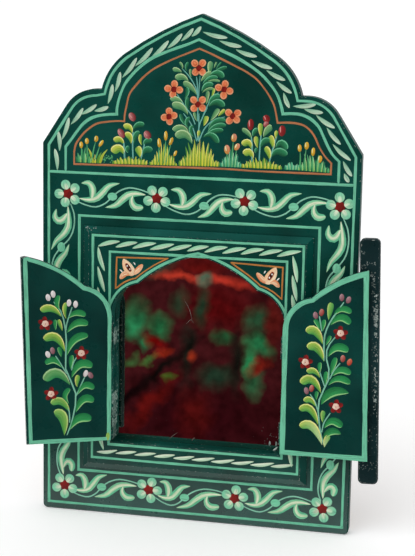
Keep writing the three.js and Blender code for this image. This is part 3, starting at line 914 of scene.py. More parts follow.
class Painting:
    """Many strokes gathered in one mesh, with colour and bristle marks on its points."""

    def __init__(self, name, body, thickness=1.0):
        self.name = name
        self.body = body
        self.thickness = thickness
        self.corners = []
        self.faces = []
        self.colours = []
        self.bristles = []
        self.count = 0

    def stroke(self, canvas, places, width, paint, profile=LEAF, layer=0):
        """A stroke through the places, from its root to its tip."""
        line = curve_through(places, CURVE_STEP / 2)
        steps = max(FEWEST_STEPS, min(MOST_STEPS, round(lengths_along(line)[-1])))
        self.lay(canvas, resampled(line, steps), width, paint, profile, layer)

    def dab(self, canvas, place, width, height, paint, turn=0.0, layer=0):
        """A round or oval touch of the brush."""
        half = Vector((math.sin(turn), math.cos(turn))) * (height / 2)
        self.touch(canvas, place - half, place + half, width, paint, layer)

    def touch(self, canvas, start, end, width, paint, layer, steps=DAB_STEPS):
        """A round-ended touch from one place straight to another."""
        self.lay(canvas, resampled([start, end], steps), width, paint, ROUND, layer)

    def line(self, canvas, runs, width, paint, closed=False, layer=0):
        """A border line: runs are curves that meet in corners."""
        line = []
        for run in runs:
            for place in curve_through(run, LINE_STEP):
                if not line or (place - line[-1]).length > SAME_PLACE:
                    line.append(place)
        if closed and (line[0] - line[-1]).length < SAME_PLACE:
            line.pop()
        self.lay(canvas, line, width, paint, EVEN, layer, closed)

    def lay(self, canvas, line, width, paint, profile, layer, closed=False):
        """Adds the points of one stroke along a finished line, and its faces."""
        self.count += 1
        paint = four_corners(paint)
        gone = lengths_along(line)
        total = gone[-1] or 1.0
        lift = layer * LAYER_LIFT + (self.count % TURNS) * TURN_LIFT
        sway = hand.uniform(0, math.tau)
        self.join(len(self.corners), len(line), closed)
        for place, side, way in zip(line, sides_of(line, closed), gone):
            t = way / total
            share = 1.0 if closed else width_share(profile, t)
            if profile is EVEN:
                share *= unsteady(way, sway)
            dome = min(1.0, share * FULLNESS)
            for offset, height in STROKE_SECTION:
                spot = place + side * (offset * width / 2 * share)
                rise = height * dome * self.thickness + lift
                self.corners.append(canvas.at(spot.x, spot.y, rise))
                root = mixed(paint[0], paint[1], 0.5 - offset / 2)
                tip = mixed(paint[2], paint[3], 0.5 - offset / 2)
                self.colours.append(mixed(root, tip, t))
                self.bristles.append((way, offset * width / 2, self.count * BRISTLE_SHIFT))

    def join(self, first, length, closed):
        """The faces between the sections of a stroke whose first point has this number."""
        across = len(STROKE_SECTION)
        for step in range(length if closed else length - 1):
            here = first + step * across
            there = first + (step + 1) % length * across
            for index in range(across - 1):
                low, high = here + index, there + index
                self.faces.append((low, low + 1, high + 1, high))

    def finish(self, material):
        """Makes the mesh, gives it the paint and fixes it to its body."""
        thing = plain_mesh(self.name, self.corners, self.faces, material)
        mesh = thing.data
        colour = mesh.color_attributes.new("paint", "FLOAT_COLOR", "POINT")
        bristle = mesh.attributes.new("bristle", "FLOAT_VECTOR", "POINT")
        colour.data.foreach_set("color", [c for one in self.colours for c in one])
        bristle.data.foreach_set("vector", [c for one in self.bristles for c in one])
        mesh.polygons.foreach_set("use_smooth", [True] * len(mesh.polygons))
        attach(thing, self.body)
        print(self.name, "has", self.count, "strokes")


print("a stroke stands", STROKE_SECTION[2][1], "mm above the enamel")

# %% [markdown]
# ## The paint of the ornament
# Poster paint bound with gum dries to a duller film than the enamel. The bristles part the wet
# paint into streaks, lighter where it lies thick. The noise is stretched along each stroke by
# the bristle marks kept on its points, so that it always follows the brush.

# %% Ornament paint
STREAK_LENGTH_MM = 9
STREAK_WIDTH_MM = 0.42
STREAK_HEIGHT = 0.05 * MM
STREAK_SHADE = "#c6c6c6"
STREAK_BAND = {LOW: 0.28, HIGH: 0.52}
STREAK_STRENGTH = 0.35
POSTER_DULLNESS = 0.42
POSTER_SHINE = 0.25


def streaked_poster_paint():
    """Gum paint with bristle streaks that follow each stroke."""
    material, tree, shader = new_material("streaked_poster_paint")
    paint = add_node(tree, "Attribute", None, "Color", attribute_name="paint")
    marks = add_node(tree, "Attribute", None, "Vector", attribute_name="bristle")
    scale = (1 / STREAK_LENGTH_MM, 1 / STREAK_WIDTH_MM, 1)
    marks = add_node(tree, "Mapping", {"Vector": marks, "Scale": scale})
    streaks = add_node(tree, "TexNoise", {"Vector": marks, "Scale": 1.0, "Detail": 2.0})
    thick = add_node(tree, "MapRange", {"Value": streaks, **STREAK_BAND})
    shade = add_node(tree, "Mix", {SHARE: thick, UNDER: STREAK_SHADE, OVER: "#ffffff"}, **COLOURS)
    colour = add_node(tree, "Mix", {SHARE: 1.0, UNDER: paint, OVER: shade}, **TINTS)
    bump = add_node(tree, "Bump", {
        "Strength": STREAK_STRENGTH, "Distance": STREAK_HEIGHT, "Height": streaks})
    fill(tree, shader, {
        "Base Color": colour, "Normal": bump, "Roughness": POSTER_DULLNESS,
        "Specular IOR Level": POSTER_SHINE})
    return material


ornament_paint = streaked_poster_paint()
print("its streaks are", STREAK_WIDTH_MM, "mm wide and", STREAK_LENGTH_MM, "mm long")

# %% [markdown]
# ## Border lines
# The borders are drawn first, with a ruler and a long thin brush. The straight ones follow the
# wood, so they are given in millimetres. The curved ones were drawn freehand beside the sawn
# edge, and they are traced from the photo, each as runs that meet in corners.

# %% Border lines on the board
LINE_GREEN = ("#6cc19d",)
LINE_ORANGE = ("#b26c42", "#bb784e")
LINE_WIDTH = 2.0
ORANGE_WIDTH = 1.35
OUTER_LINE_HALF = 111.2
BAND_LINE = 253.9
INNER_LINE_HALF = 87.4
INNER_LINE_LOW = 31.7
INNER_LINE_HIGH = 222.9

SECOND_LEFT_SHOULDER = [
    (65.7, 146.5), (71.3, 139.3), (77.2, 131.0), (83.1, 123.9), (90.2, 118.6),
    (98.4, 115.7), (107.9, 114.5), (116.8, 114.1)]
SECOND_LEFT_CROWN = [
    (116.8, 114.1), (116.9, 108.5), (119.7, 96.7), (124.4, 84.9), (131.5, 75.5),
    (140.9, 66.1), (151.5, 58.4), (163.3, 53.1), (177.5, 47.8), (189.3, 43.7), (199.0, 39.5)]
SECOND_RIGHT_CROWN = [
    (199.0, 39.5), (208.6, 44.2), (220.4, 50.1), (234.6, 56.6), (248.7, 64.9),
    (260.5, 73.7), (269.9, 83.8), (277.0, 94.4), (281.2, 106.2), (282.9, 113.9)]
SECOND_RIGHT_SHOULDER = [
    (282.9, 113.9), (291.2, 113.7), (300.6, 114.5), (310.1, 118.6), (318.3, 126.3),
    (323.0, 135.7), (327.8, 146.3), (332.5, 154.6), (339.2, 161.7)]
ORANGE_LEFT_SHOULDER = [
    (74.2, 151.1), (76.0, 144.0), (80.7, 136.9), (86.6, 130.4), (96.1, 123.9),
    (106.7, 121.8), (117.3, 121.0), (124.4, 121.3)]
ORANGE_LEFT_CROWN = [
    (124.4, 121.3), (124.6, 115.7), (126.2, 107.4), (129.4, 94.4), (136.2, 84.9),
    (143.3, 77.3), (152.7, 69.6), (163.3, 63.7), (176.3, 57.8), (188.1, 53.1), (199.5, 48.6)]
ORANGE_RIGHT_CROWN = [
    (199.5, 48.6), (211.0, 53.7), (223.9, 60.2), (235.7, 66.1), (247.5, 72.6),
    (257.0, 79.6), (265.2, 89.7), (271.1, 99.1), (274.7, 107.4), (277.6, 122.8)]
ORANGE_RIGHT_SHOULDER = [
    (277.6, 122.8), (286.5, 122.6), (295.9, 123.3), (304.2, 125.7), (310.1, 130.4),
    (314.8, 136.9), (319.5, 147.5), (325.4, 157.0), (331.3, 163.4)]
ORANGE_SILL = [(330.7, 174.4), (255.8, 171.1), (211.7, 168.4), (74.2, 164.0)]


def on_board(points):
    """Points of the photo as places on the board."""
    return [board_face.under_pixel(x, y) for x, y in points]


def box_runs(left, right, low, high):
    """The four runs of a ruled rectangle."""
    corners = [Vector(c) for c in ((left, low), (right, low), (right, high), (left, high))]
    return [[a, b] for a, b in zip(corners, corners[1:] + corners[:1])]


def arcade_runs():
    """The line inside the rope band, from the ruled line up and over to it again."""
    left = on_board(SECOND_LEFT_SHOULDER)
    right = on_board(SECOND_RIGHT_SHOULDER)
    left_foot = Vector((left[0].x, BAND_LINE))
    right_foot = Vector((right[-1].x, BAND_LINE))
    return [
        [left_foot, left[0]], left, on_board(SECOND_LEFT_CROWN),
        on_board(SECOND_RIGHT_CROWN), right, [right[-1], right_foot],
    ]


def tympanum_runs():
    """The orange line round the garden of the top."""
    left = on_board(ORANGE_LEFT_SHOULDER)
    right = on_board(ORANGE_RIGHT_SHOULDER)
    sill = on_board(ORANGE_SILL)
    return [
        left, on_board(ORANGE_LEFT_CROWN), on_board(ORANGE_RIGHT_CROWN), right,
        [right[-1], sill[0]], sill, [sill[-1], left[0]],
    ]


board_lines = Painting("board_border_lines", "frame")
board_lines.line(
    board_face, [[Vector((-OUTER_LINE_HALF, BAND_LINE)), Vector((OUTER_LINE_HALF, BAND_LINE))]],
    LINE_WIDTH, LINE_GREEN, layer=1)
board_lines.line(
    board_face, box_runs(-INNER_LINE_HALF, INNER_LINE_HALF, INNER_LINE_LOW, INNER_LINE_HIGH),
    LINE_WIDTH, LINE_GREEN, closed=True)
board_lines.line(board_face, arcade_runs(), LINE_WIDTH, LINE_GREEN, layer=1)
board_lines.line(board_face, tympanum_runs(), ORANGE_WIDTH, LINE_ORANGE, closed=True)
board_lines.finish(ornament_paint)

# %% [markdown]
# Where a line follows a sawn edge closely, as round the window and on the doors, the painter
# runs a finger along the edge as a guide. The script does the same: it finds the edge of the
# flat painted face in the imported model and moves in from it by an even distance.

# %% Lines that follow an edge
EDGE_TOLERANCE = 0.02
FLAT_ENOUGH = 0.99


def keyed(spot):
    """A place rounded to a hundredth of a millimetre, so that shared corners meet."""
    return (round(spot.x, 2), round(spot.y, 2))


def area_of(loop):
    """The area inside a loop, above zero where it runs anticlockwise."""
    return sum(a.x * b.y - a.y * b.x for a, b in zip(loop, loop[1:] + loop[:1])) / 2


def edges_of_face(node, canvas):
    """The closed outlines of a node's flat face that lies on the canvas, as u and v."""
    mesh = NODES[node].data
    place = NODES[node].matrix_world
    turn = place.to_3x3()
    spots = [canvas.flat(place @ vertex.co) for vertex in mesh.vertices]
    used = {}
    for face in mesh.polygons:
        height = (place @ face.center - canvas.corner).dot(canvas.out) / MM
        if (turn @ face.normal).dot(canvas.out) > FLAT_ENOUGH and abs(height) < EDGE_TOLERANCE:
            around = [keyed(spots[index]) for index in face.vertices]
            for pair in zip(around, around[1:] + around[:1]):
                used[pair] = True
    follows = {start: end for start, end in used if (end, start) not in used and start != end}
    loops = []
    while follows:
        start, here = follows.popitem()
        loop = [start]
        while here != start and here in follows:
            loop.append(here)
            here = follows.pop(here)
        loops.append([Vector(point) for point in loop])
    return sorted(loops, key=lambda loop: -abs(area_of(loop)))


def moved_in(loop, distance):
    """A loop moved to its left by a distance, or by what a function gives for each place."""
    reach = distance if callable(distance) else lambda place: distance
    return [place + side * reach(place) for place, side in zip(loop, sides_of(loop, True))]


for name in ("raised_surround", *DOORS):
    canvas = surround_face if name == "raised_surround" else inner_faces[name]
    print(name, "outlines", [len(loop) for loop in edges_of_face(name, canvas)])

# %% [markdown]
# The line beside the sawn outline keeps about 4 mm off it, and less over the crown. It is drawn
# as straight steps from place to place, because a curve would round its corners.

# %% The line beside the sawn edge
SAWN_LINE_INSET = 3.8
SAWN_LINE_FOOT = 5.2
CROWN_LINE_INSET = 2.5
CROWN_FOOT = 268.0
CROWN_BLEND = 22.0
LEFT_NOTCH = -71.0


def straight_runs(places):
    """The straight steps between the places, so that no curve rounds their corners."""
    return [[a, b] for a, b in zip(places, places[1:])]


def run_round(loop):
    """A closed line of straight steps round a loop."""
    return straight_runs(loop + loop[:1])


def sawn_inset(place):
    """How far the line keeps from the sawn edge: nearer over the head and the right shoulder."""
    if place.x < LEFT_NOTCH:
        return SAWN_LINE_INSET
    share = min(max((place.y - CROWN_FOOT) / CROWN_BLEND, 0), 1)
    return SAWN_LINE_INSET + (CROWN_LINE_INSET - SAWN_LINE_INSET) * share


sawn_line = Painting("sawn_edge_line", "frame")
board_edge = edges_of_face("face_board", board_face)[0]
sawn_loop = [
    Vector((place.x, max(place.y, SAWN_LINE_FOOT)))
    for place in moved_in(board_edge, sawn_inset)]
sawn_line.line(board_face, run_round(sawn_loop), LINE_WIDTH, LINE_GREEN, closed=True)
sawn_line.finish(ornament_paint)

# %% [markdown]
# The raised surround carries a ruled line near its rim, a second one round the window and, along
# the cusped arch, a line that almost touches the saw cut.

# %% Border lines on the surround
RULED_OUTSIDE = (-76.0, 77.2, 43.7, 209.8)
RULED_INSIDE = (-63.3, 65.6, 54.6, 198.4)
RULED_WIDTH = 1.9
ARCH_LINE_INSET = 1.9
ARCH_LINE_FOOT = 149.0


def arch_run(loop):
    """The part of a window's outline above the spring of its arch, in order."""
    start = next(i for i, place in enumerate(loop) if place.y < ARCH_LINE_FOOT)
    turned = loop[start:] + loop[:start]
    return [place for place in turned if place.y >= ARCH_LINE_FOOT]


surround_lines = Painting("surround_border_lines", "frame")
for ruled in (RULED_OUTSIDE, RULED_INSIDE):
    surround_lines.line(
        surround_face, box_runs(*ruled), RULED_WIDTH, LINE_GREEN, closed=True)
window_edge = edges_of_face("raised_surround", surround_face)[1]
arch = arch_run(moved_in(window_edge, ARCH_LINE_INSET))
surround_lines.line(surround_face, straight_runs(arch), LINE_WIDTH, LINE_GREEN)
surround_lines.finish(ornament_paint)

# %% [markdown]
# Each door has one broad line all round. On the inner face it laps over the edge a little, on
# the outer face it keeps off it. A smear of lime paint lies on the left door's low corner.

# %% Border lines on the doors
DOOR_LINE_WIDTH = 3.0
RIGHT_DOOR_LINE_WIDTH = 3.7
DOOR_LINE_OVERHANG = 0.35
OUTER_LINE_INSET = 4.0
FREE_SIDE_INSET = 1.9
FREE_SIDE_SHARE = 0.93
LIME_SMEAR = ((108.3, 431.5), (108.2, 436.0), (107.6, 440.5))
LIME_SMEAR_WIDTH = 3.4
LIME_SMEAR_PAINT = ("#79a83f", "#8fbb52", "#a9c95a", "#9cc46a")


def free_side_in(loop):
    """A door's line with the side that lies farthest from the hinge moved in a little."""
    reach = max((place.x for place in loop), key=abs)
    shift = Vector((math.copysign(FREE_SIDE_INSET, reach), 0))
    return [place - shift if place.x / reach > FREE_SIDE_SHARE else place for place in loop]


for door in DOORS:
    wide = RIGHT_DOOR_LINE_WIDTH if door == "right_door" else DOOR_LINE_WIDTH
    lines = Painting(door + "_border_lines", door)
    for canvas, inset in (
            (inner_faces[door], -DOOR_LINE_OVERHANG), (outer_faces[door], OUTER_LINE_INSET)):
        middle = moved_in(edges_of_face(door, canvas)[0], wide / 2 + inset)
        if door == "left_door":
            middle = free_side_in(middle)
        lines.line(canvas, run_round(middle), wide, LINE_GREEN, closed=True)
    if door == "left_door":
        smear = [inner_faces[door].under_pixel(x, y) for x, y in LIME_SMEAR]
        lines.stroke(
            inner_faces[door], smear, LIME_SMEAR_WIDTH, LIME_SMEAR_PAINT, LENS, layer=1)
    lines.finish(ornament_paint)

# %% [markdown]
# ## Rope bands
# Two bands of slanted leaf-shaped touches look like a twisted rope. Round the crown they were
# put freehand, one by one: every touch starts with the tip of the brush and ends with its
# belly, so it has a thin tail and a fuller head. Their ends are picked on enlarged crops.

# %% Rope round the crown
CLOSE_UP = 8.476
PALE_TOUCH = ("#6db392", "#9cc7a2", "#a5cdb0", "#d3e2cb")
CROWN_TOUCH_WIDTH = 3.2
CROWN_TOUCH_BOW = -0.04
TAILED = (0.85, 0.6)
UPPER_LEFT = Tracing(board_face, 30, 0, CLOSE_UP)
UPPER_RIGHT = Tracing(board_face, 185, 0, CLOSE_UP)
LOWER_LEFT = Tracing(board_face, 30, 85, CLOSE_UP)
LOWER_RIGHT = Tracing(board_face, 185, 85, CLOSE_UP)
CROWN_ROPE = (
    (UPPER_LEFT, (
        ((780, 660), (905, 490)), ((890, 560), (1040, 405)), ((1030, 485), (1175, 345)),
        ((1165, 410), (1290, 285)), ((1280, 350), (1385, 240)), ((1370, 310), (1450, 225)),
        ((720, 780), (765, 610)), ((660, 880), (700, 715)))),
    (LOWER_LEFT, (
        ((545, 220), (665, 185)), ((430, 250), (565, 165)), ((345, 335), (450, 195)),
        ((270, 465), (330, 275)), ((250, 560), (240, 395)), ((232, 725), (210, 540)))),
    (UPPER_RIGHT, (
        ((150, 270), (360, 320)), ((290, 345), (480, 395)), ((430, 420), (610, 480)),
        ((560, 510), (740, 580)), ((690, 595), (850, 680)), ((775, 690), (905, 790)),
        ((835, 785), (885, 915)))),
    (LOWER_RIGHT, (
        ((915, 180), (1110, 165)), ((1010, 205), (1170, 235)), ((1110, 255), (1270, 365)),
        ((1200, 360), (1320, 505)), ((1250, 500), (1405, 640)), ((1340, 645), (1415, 775)),
        ((1350, 750), (1390, 825)))),
)


def bowed(tail, head, share):
    """A gently curved path from tail to head, bent to its left by a share of its length."""
    reach = head - tail
    middle = (tail + head) / 2 + Vector((-reach.y, reach.x)) * share
    return [tail, middle, head]


crown_rope = Painting("crown_rope_band", "frame")
for tracing, touches in CROWN_ROPE:
    for touch in touches:
        tail, head = tracing.places(touch)
        path = bowed(tail, head, CROWN_TOUCH_BOW)
        crown_rope.stroke(board_face, path, CROWN_TOUCH_WIDTH, PALE_TOUCH, TAILED)
crown_rope.finish(ornament_paint)

# %% [markdown]
# On the surround the touches follow the ruler, so each side is a loop over evenly spaced
# places, from corner to corner. The lowest side is slimmer and paler than the others.

# %% Rope on the surround
ROPE_LEFT, ROPE_RIGHT, ROPE_FOOT, ROPE_TOP = (
    (outside + inside) / 2 for outside, inside in zip(RULED_OUTSIDE, RULED_INSIDE))
GREEN_TOUCH = ("#7cc79c", "#c6dfbf", "#86cfa6", "#d3e4c8")
CREAM_TOUCH = ("#a6cfac", "#e0e9cf", "#b0d6b4", "#e6eed9")
PAST = 2.0
HALF_PAST = 1.0
SHORT_OF = 4.0
# Each side: where it starts and ends, how many touches, their length, slant, width and paint
ROPE_SIDES = (
    ((ROPE_LEFT - HALF_PAST, ROPE_TOP), (ROPE_RIGHT + PAST, ROPE_TOP),
     11, 17.4, 15, 3.3, GREEN_TOUCH),
    ((ROPE_RIGHT, ROPE_TOP - SHORT_OF), (ROPE_RIGHT, ROPE_FOOT + PAST),
     11, 18.6, 11, 3.3, GREEN_TOUCH),
    ((ROPE_RIGHT + PAST, ROPE_FOOT), (ROPE_LEFT - PAST, ROPE_FOOT),
     10, 17.0, 9, 2.7, CREAM_TOUCH),
    ((ROPE_LEFT, ROPE_FOOT + PAST), (ROPE_LEFT, ROPE_TOP - SHORT_OF),
     10, 19.0, 16, 3.3, GREEN_TOUCH),
)
LENGTH_SPREAD = (0.94, 1.06)
BOW_SPREAD = (0.0, 0.06)


def rope_side(painting, start, end, count, length, slant, width, paint):
    """A count of slanted touches from one corner of the band to the next."""
    way = (end - start).normalized()
    slanted = Matrix.Rotation(math.radians(slant), 2) @ way
    for index in range(count):
        middle = start.lerp(end, (index + 0.5) / count)
        reach = slanted * (length / 2 * hand.uniform(*LENGTH_SPREAD))
        places = bowed(middle - reach, middle + reach, hand.uniform(*BOW_SPREAD))
        painting.stroke(surround_face, places, width, paint, LENS)


surround_rope = Painting("surround_rope_band", "frame")
for start, end, *manner in ROPE_SIDES:
    rope_side(surround_rope, Vector(start), Vector(end), *manner)
surround_rope.finish(ornament_paint)

# %% [markdown]
# ## The flowering vine
# Twelve flowers stand round the board, and between two of them the vine makes the same double
# curl about a bud: the second half is the first, given a half turn about the bud and a little
# flatter. So the painter has to know only one long leaf, one short leaf and one bit of stem.
# They are written for a link whose bud lies at 0 and whose first flower lies at -1 along it.
# The links up the sides are their own shape and mirrored.

# %% The vine
TOP_FLOWERS = ((68.0, 193.6), (156.8, 198.6), (244.6, 201.6), (340.1, 206.9))
FOOT_FLOWERS = ((64.8, 485.1), (148.6, 489.9), (234.6, 498.4), (322.4, 509.0))
LEFT_FLOWERS_BETWEEN = ((58.0, 298.5), (63.0, 392.0))
RIGHT_FLOWERS_BETWEEN = ((331.5, 313.0), (329.0, 409.0))
TOP_BUDS = ((112.4, 196.6), (204.0, 206.0), (293.6, 207.0))
FOOT_BUDS = ((101.6, 487.0), (184.4, 497.6), (275.4, 503.0))
LEFT_SIDE_BUDS = ((61.2, 247.0), (60.5, 345.2), (63.9, 438.6))
RIGHT_SIDE_BUDS = ((336.6, 268.6), (330.2, 361.0), (330.2, 465.0))
LEVEL_LINK = (
    ((-0.75, -0.085), (-0.53, -0.105), (-0.35, -0.05), (-0.2, 0.10), (-0.07, 0.235), (0.16, 0.3)),
    ((-0.465, -0.075), (-0.44, 0.06), (-0.46, 0.175), (-0.54, 0.262), (-0.7, 0.25)),
    ((-0.81, -0.146), (-0.61, -0.22), (-0.37, -0.253), (-0.16, -0.16), (0.0, 0.0)),
)
UPRIGHT_LINK = (
    ((-0.77, -0.03), (-0.578, -0.069), (-0.389, -0.083), (-0.229, -0.007), (-0.103, 0.105),
     (0.08, 0.185)),
    ((-0.632, -0.035), (-0.512, 0.03), (-0.475, 0.116), (-0.543, 0.195), (-0.69, 0.185)),
    ((-0.826, -0.07), (-0.645, -0.165), (-0.438, -0.195), (-0.205, -0.15), (0.0, 0.0)),
)
SECOND_RISE = 0.82
VINE_STEM = (1.1, ("#8fcbb0", "#7cc3a4"), (0.12, 0.05))
VINE_LEAF_WIDTH = 5.3
VINE_LEAF_RINGS = (
    (1.0, ("#56b084", "#79c496", "#62c095", "#7fcca0"), 1),
    (0.78, ("#97cda1", "#b9deae", "#7fcb9e", "#a1d8ac"), 2),
    (0.5, ("#dfe8c6", "#edecd4", "#a3d5a6", "#c4e0b8"), 3),
)
LONG_PROFILE = (0.8, 0.85)
SHORT_PROFILES = {1: (0.5, 0.8), -1: (0.75, 0.45)}
BUD_PAINT = ("#6fc79f", "#7fcfa8")
BUD_SIZE = (5.8, 7.2)
PETAL_REACH = 6.7
PETAL_SIZE = 7.0
PETAL_STRAY = 0.06
HEART_SIZE = 4.0
HEART_REACH = PETAL_REACH - HEART_SIZE * 0.3
HEART_HALF = HEART_SIZE * 0.62
EYE_ROUNDS = ((7.4, 1), (5.7, 4))
FLOWER_TURNS = (36, 52, 50, 24, 55, 70, 12, 62, 40, 20, 60, 30)
PETAL_PAINT = ("#a9d8b0", "#a9d8b0", "#6cc7a0", "#7acda8")
PETAL_HEART = ("#dfe5c5", "#e9ecd2", "#a4d8b4", "#aedcba")
EYE_RED = ("#8c1007", "#6e0b07")


def vine_link(painting, start, middle, end, shapes, mirror):
    """The double curl between two flowers, with the bud in its middle."""
    across = Vector((start.y - end.y, end.x - start.x)) * (mirror / 2)
    for half, along, rise in ((1, middle - start, 1.0), (-1, end - middle, SECOND_RISE)):
        left = across * rise
        drawn = {}
        for name, points in zip(("long", "short", "stem"), shapes):
            drawn[name] = [middle + (along * x + left * y) * half for x, y in points]
        painting.stroke(board_face, drawn["stem"], *VINE_STEM)
        for ring, paint, layer in VINE_LEAF_RINGS:
            for name, profile in (("short", SHORT_PROFILES[half]), ("long", LONG_PROFILE)):
                painting.stroke(
                    board_face, drawn[name], VINE_LEAF_WIDTH * ring, paint, profile, layer)
    turn = math.atan2(end.x - start.x, end.y - start.y)
    painting.dab(board_face, middle, *BUD_SIZE, BUD_PAINT, turn, layer=2)


def way_of_petal(start, petal, stray):
    """The direction of one of five petals, by a hand that strays a little."""
    angle = start + petal * math.tau / 5 + hand.uniform(-stray, stray)
    return Vector((math.cos(angle), math.sin(angle)))


def vine_flower(painting, canvas, middle, turn):
    """A red eye, and round it five round petals with pale hearts."""
    for size, layer in EYE_ROUNDS:
        painting.dab(canvas, middle, size, size, EYE_RED, turn, layer=layer)
    for petal in range(5):
        out = way_of_petal(turn, petal, PETAL_STRAY)
        for reach, half, width, paint, layer, steps in (
                (PETAL_REACH, PETAL_SIZE / 2, PETAL_SIZE, PETAL_PAINT, 2, 10),
                (HEART_REACH, HEART_HALF, HEART_SIZE, PETAL_HEART, 3, 8)):
            round_middle = middle + out * reach
            painting.touch(
                canvas, round_middle - out * half, round_middle + out * half,
                width, paint, layer, steps)


vine = Painting("vine_scroll", "frame")
top_row = on_board(TOP_FLOWERS)
foot_row = on_board(FOOT_FLOWERS)
left_column = [top_row[0], *on_board(LEFT_FLOWERS_BETWEEN), foot_row[0]]
right_column = [top_row[-1], *on_board(RIGHT_FLOWERS_BETWEEN), foot_row[-1]]
for row, buds in ((top_row, TOP_BUDS), (foot_row, FOOT_BUDS)):
    for start, middle, end in zip(row, on_board(buds), row[1:]):
        vine_link(vine, start, middle, end, LEVEL_LINK, 1)
for column, buds in ((left_column, LEFT_SIDE_BUDS), (right_column, RIGHT_SIDE_BUDS)):
    for start, middle, end in zip(column, on_board(buds), column[1:]):
        vine_link(vine, start, middle, end, UPRIGHT_LINK, -1)
flowers = (*top_row, *foot_row, *left_column[1:3], *right_column[1:3])
for middle, turn in zip(flowers, FLOWER_TURNS):
    vine_flower(vine, board_face, middle, math.radians(turn))
vine.finish(ornament_paint)

# %% [markdown]
# ## The sprays on the doors
# Each door has a bending stem with leaves that droop like fish fins, red flowers with a pink
# heart, and pairs of buds. A leaf is one stroke: pressed down at its root, swept over and lifted
# off at its tip, with yellow on one side of the brush and green on the other. So three points
# of the photo are enough for it: its root, the bend that it sweeps round and its tip.

# %% Colours of the sprays
STEM_PAINT = ("#86c4a8", "#6fb596")
GREEN = ("#37a856", "#0f7139", "#30a257", "#117943")
YELLOW = ("#1f853a", "#9cc037", "#3f9d48", "#b0c852")
CREAM = ("#a9c98a", "#c6d8a6", "#45a04a", "#b9cb55")
SPRING = ("#2a8a3c", "#86b945", "#3f984a", "#94c25c")
MILKY = ("#127540", "#62a85c", "#228e4e", "#80b66e")
DEEP_GREEN = ("#34a052", "#0f6a38", "#2e9654", "#106e39")
GREEN_RIM = ("#7cc07a", "#9fcf86")
YELLOW_RIM = ("#d3d65e", "#ece6a4")
SPRING_RIM = ("#a9c865", "#c6d98c")
MILKY_RIM = ("#94bd84", "#b4cd9c")
LEAF_MANNERS = {
    GREEN: (GREEN_RIM, True, LEAF),
    YELLOW: (YELLOW_RIM, False, HEADED),
    CREAM: (YELLOW_RIM, False, HEADED),
    SPRING: (SPRING_RIM, False, HEADED),
    DEEP_GREEN: (GREEN_RIM, True, POINTED),
    MILKY: (MILKY_RIM, False, HEADED),
}
DEEP_RED = ("#660d10", "#98140f")
FLOWER_HEART = ("#ecd3bd", "#dcae9c")
FLOWER_HEART_SIZE = (5.3, 4.7)
FLOWER_HEART_DOT = ("#b8695a",)
WHITE_BUD = ("#bfb0b0", "#dad2cf", "#f4f2ee", "#e4dcdc")
MAUVE_BUD = ("#84525a", "#7c484d", "#bf9ba3", "#96646c")
RED_BUD = ("#a0423c", "#8a2520", "#d3988c", "#a8382e")
SCARLET_BUD = ("#b93d26", "#a82213", "#e09372", "#c8452c")
print("a spray uses", len(LEAF_MANNERS), "leaf paints")

# %% The left door's spray
# Each stem: its width in millimetres and its points. Each leaf: its paint, its width, and its
# root, bend and tip. Each bud: its paint, its middle and its lean
LEFT_STEMS = (
    (1.2, ((350, 1385), (385, 1290), (410, 1180), (420, 1090), (395, 1010), (350, 920),
           (335, 840), (345, 760), (345, 640), (330, 540), (312, 470), (250, 385))),
    (1.0, ((345, 600), (350, 550), (390, 425))),
    (1.0, ((350, 925), (310, 860), (265, 790))),
    (1.0, ((385, 900), (400, 840), (432, 790))),
    (1.0, ((420, 1090), (450, 1020), (485, 945))),
    (1.0, ((372, 1290), (368, 1210), (350, 1170))),
)
LEFT_LEAVES = (
    (YELLOW, 7.0, (310, 500), (235, 415), (155, 455)),
    (GREEN, 5.0, (300, 460), (262, 400), (292, 340)),
    (YELLOW, 4.0, (345, 515), (325, 440), (345, 395)),
    (GREEN, 6.0, (352, 515), (420, 452), (490, 490)),
    (GREEN, 7.0, (350, 620), (420, 525), (508, 555)),
    (GREEN, 7.5, (350, 790), (390, 650), (508, 640)),
    (YELLOW, 8.0, (335, 760), (275, 620), (180, 670)),
    (GREEN, 3.4, (266, 600), (262, 560), (262, 520)),
    (YELLOW, 3.6, (316, 605), (302, 560), (286, 520)),
    (GREEN, 6.5, (315, 880), (255, 800), (190, 850)),
    (GREEN, 4.0, (308, 800), (302, 760), (288, 725)),
    (MILKY, 9.5, (375, 1010), (275, 880), (185, 975)),
    (GREEN, 4.4, (378, 890), (380, 840), (388, 785)),
    (GREEN, 8.0, (385, 955), (440, 825), (540, 870)),
    (YELLOW, 4.6, (428, 1025), (422, 980), (436, 935)),
    (GREEN, 6.5, (425, 1085), (480, 985), (552, 1035)),
    (GREEN, 7.5, (415, 1215), (470, 1085), (550, 1130)),
    (GREEN, 5.0, (368, 1150), (318, 1090), (372, 1035)),
    (SPRING, 7.0, (372, 1215), (310, 1105), (235, 1150)),
    (SPRING, 9.0, (330, 1385), (335, 1220), (255, 1220)),
    (GREEN, 8.5, (365, 1350), (430, 1235), (532, 1265)),
)
LEFT_FLOWERS = ((188, 550), (458, 770), (232, 1075))
LEFT_BUDS = (
    (WHITE_BUD, (210, 355), 15), (WHITE_BUD, (247, 330), 8),
    (WHITE_BUD, (365, 395), -8), (WHITE_BUD, (415, 405), 0),
    (WHITE_BUD, (208, 780), 20), (MAUVE_BUD, (243, 752), 10),
    (WHITE_BUD, (490, 922), -20), (MAUVE_BUD, (527, 935), 30),
)
print("left:", len(LEFT_LEAVES), "leaves and", len(LEFT_BUDS), "buds")

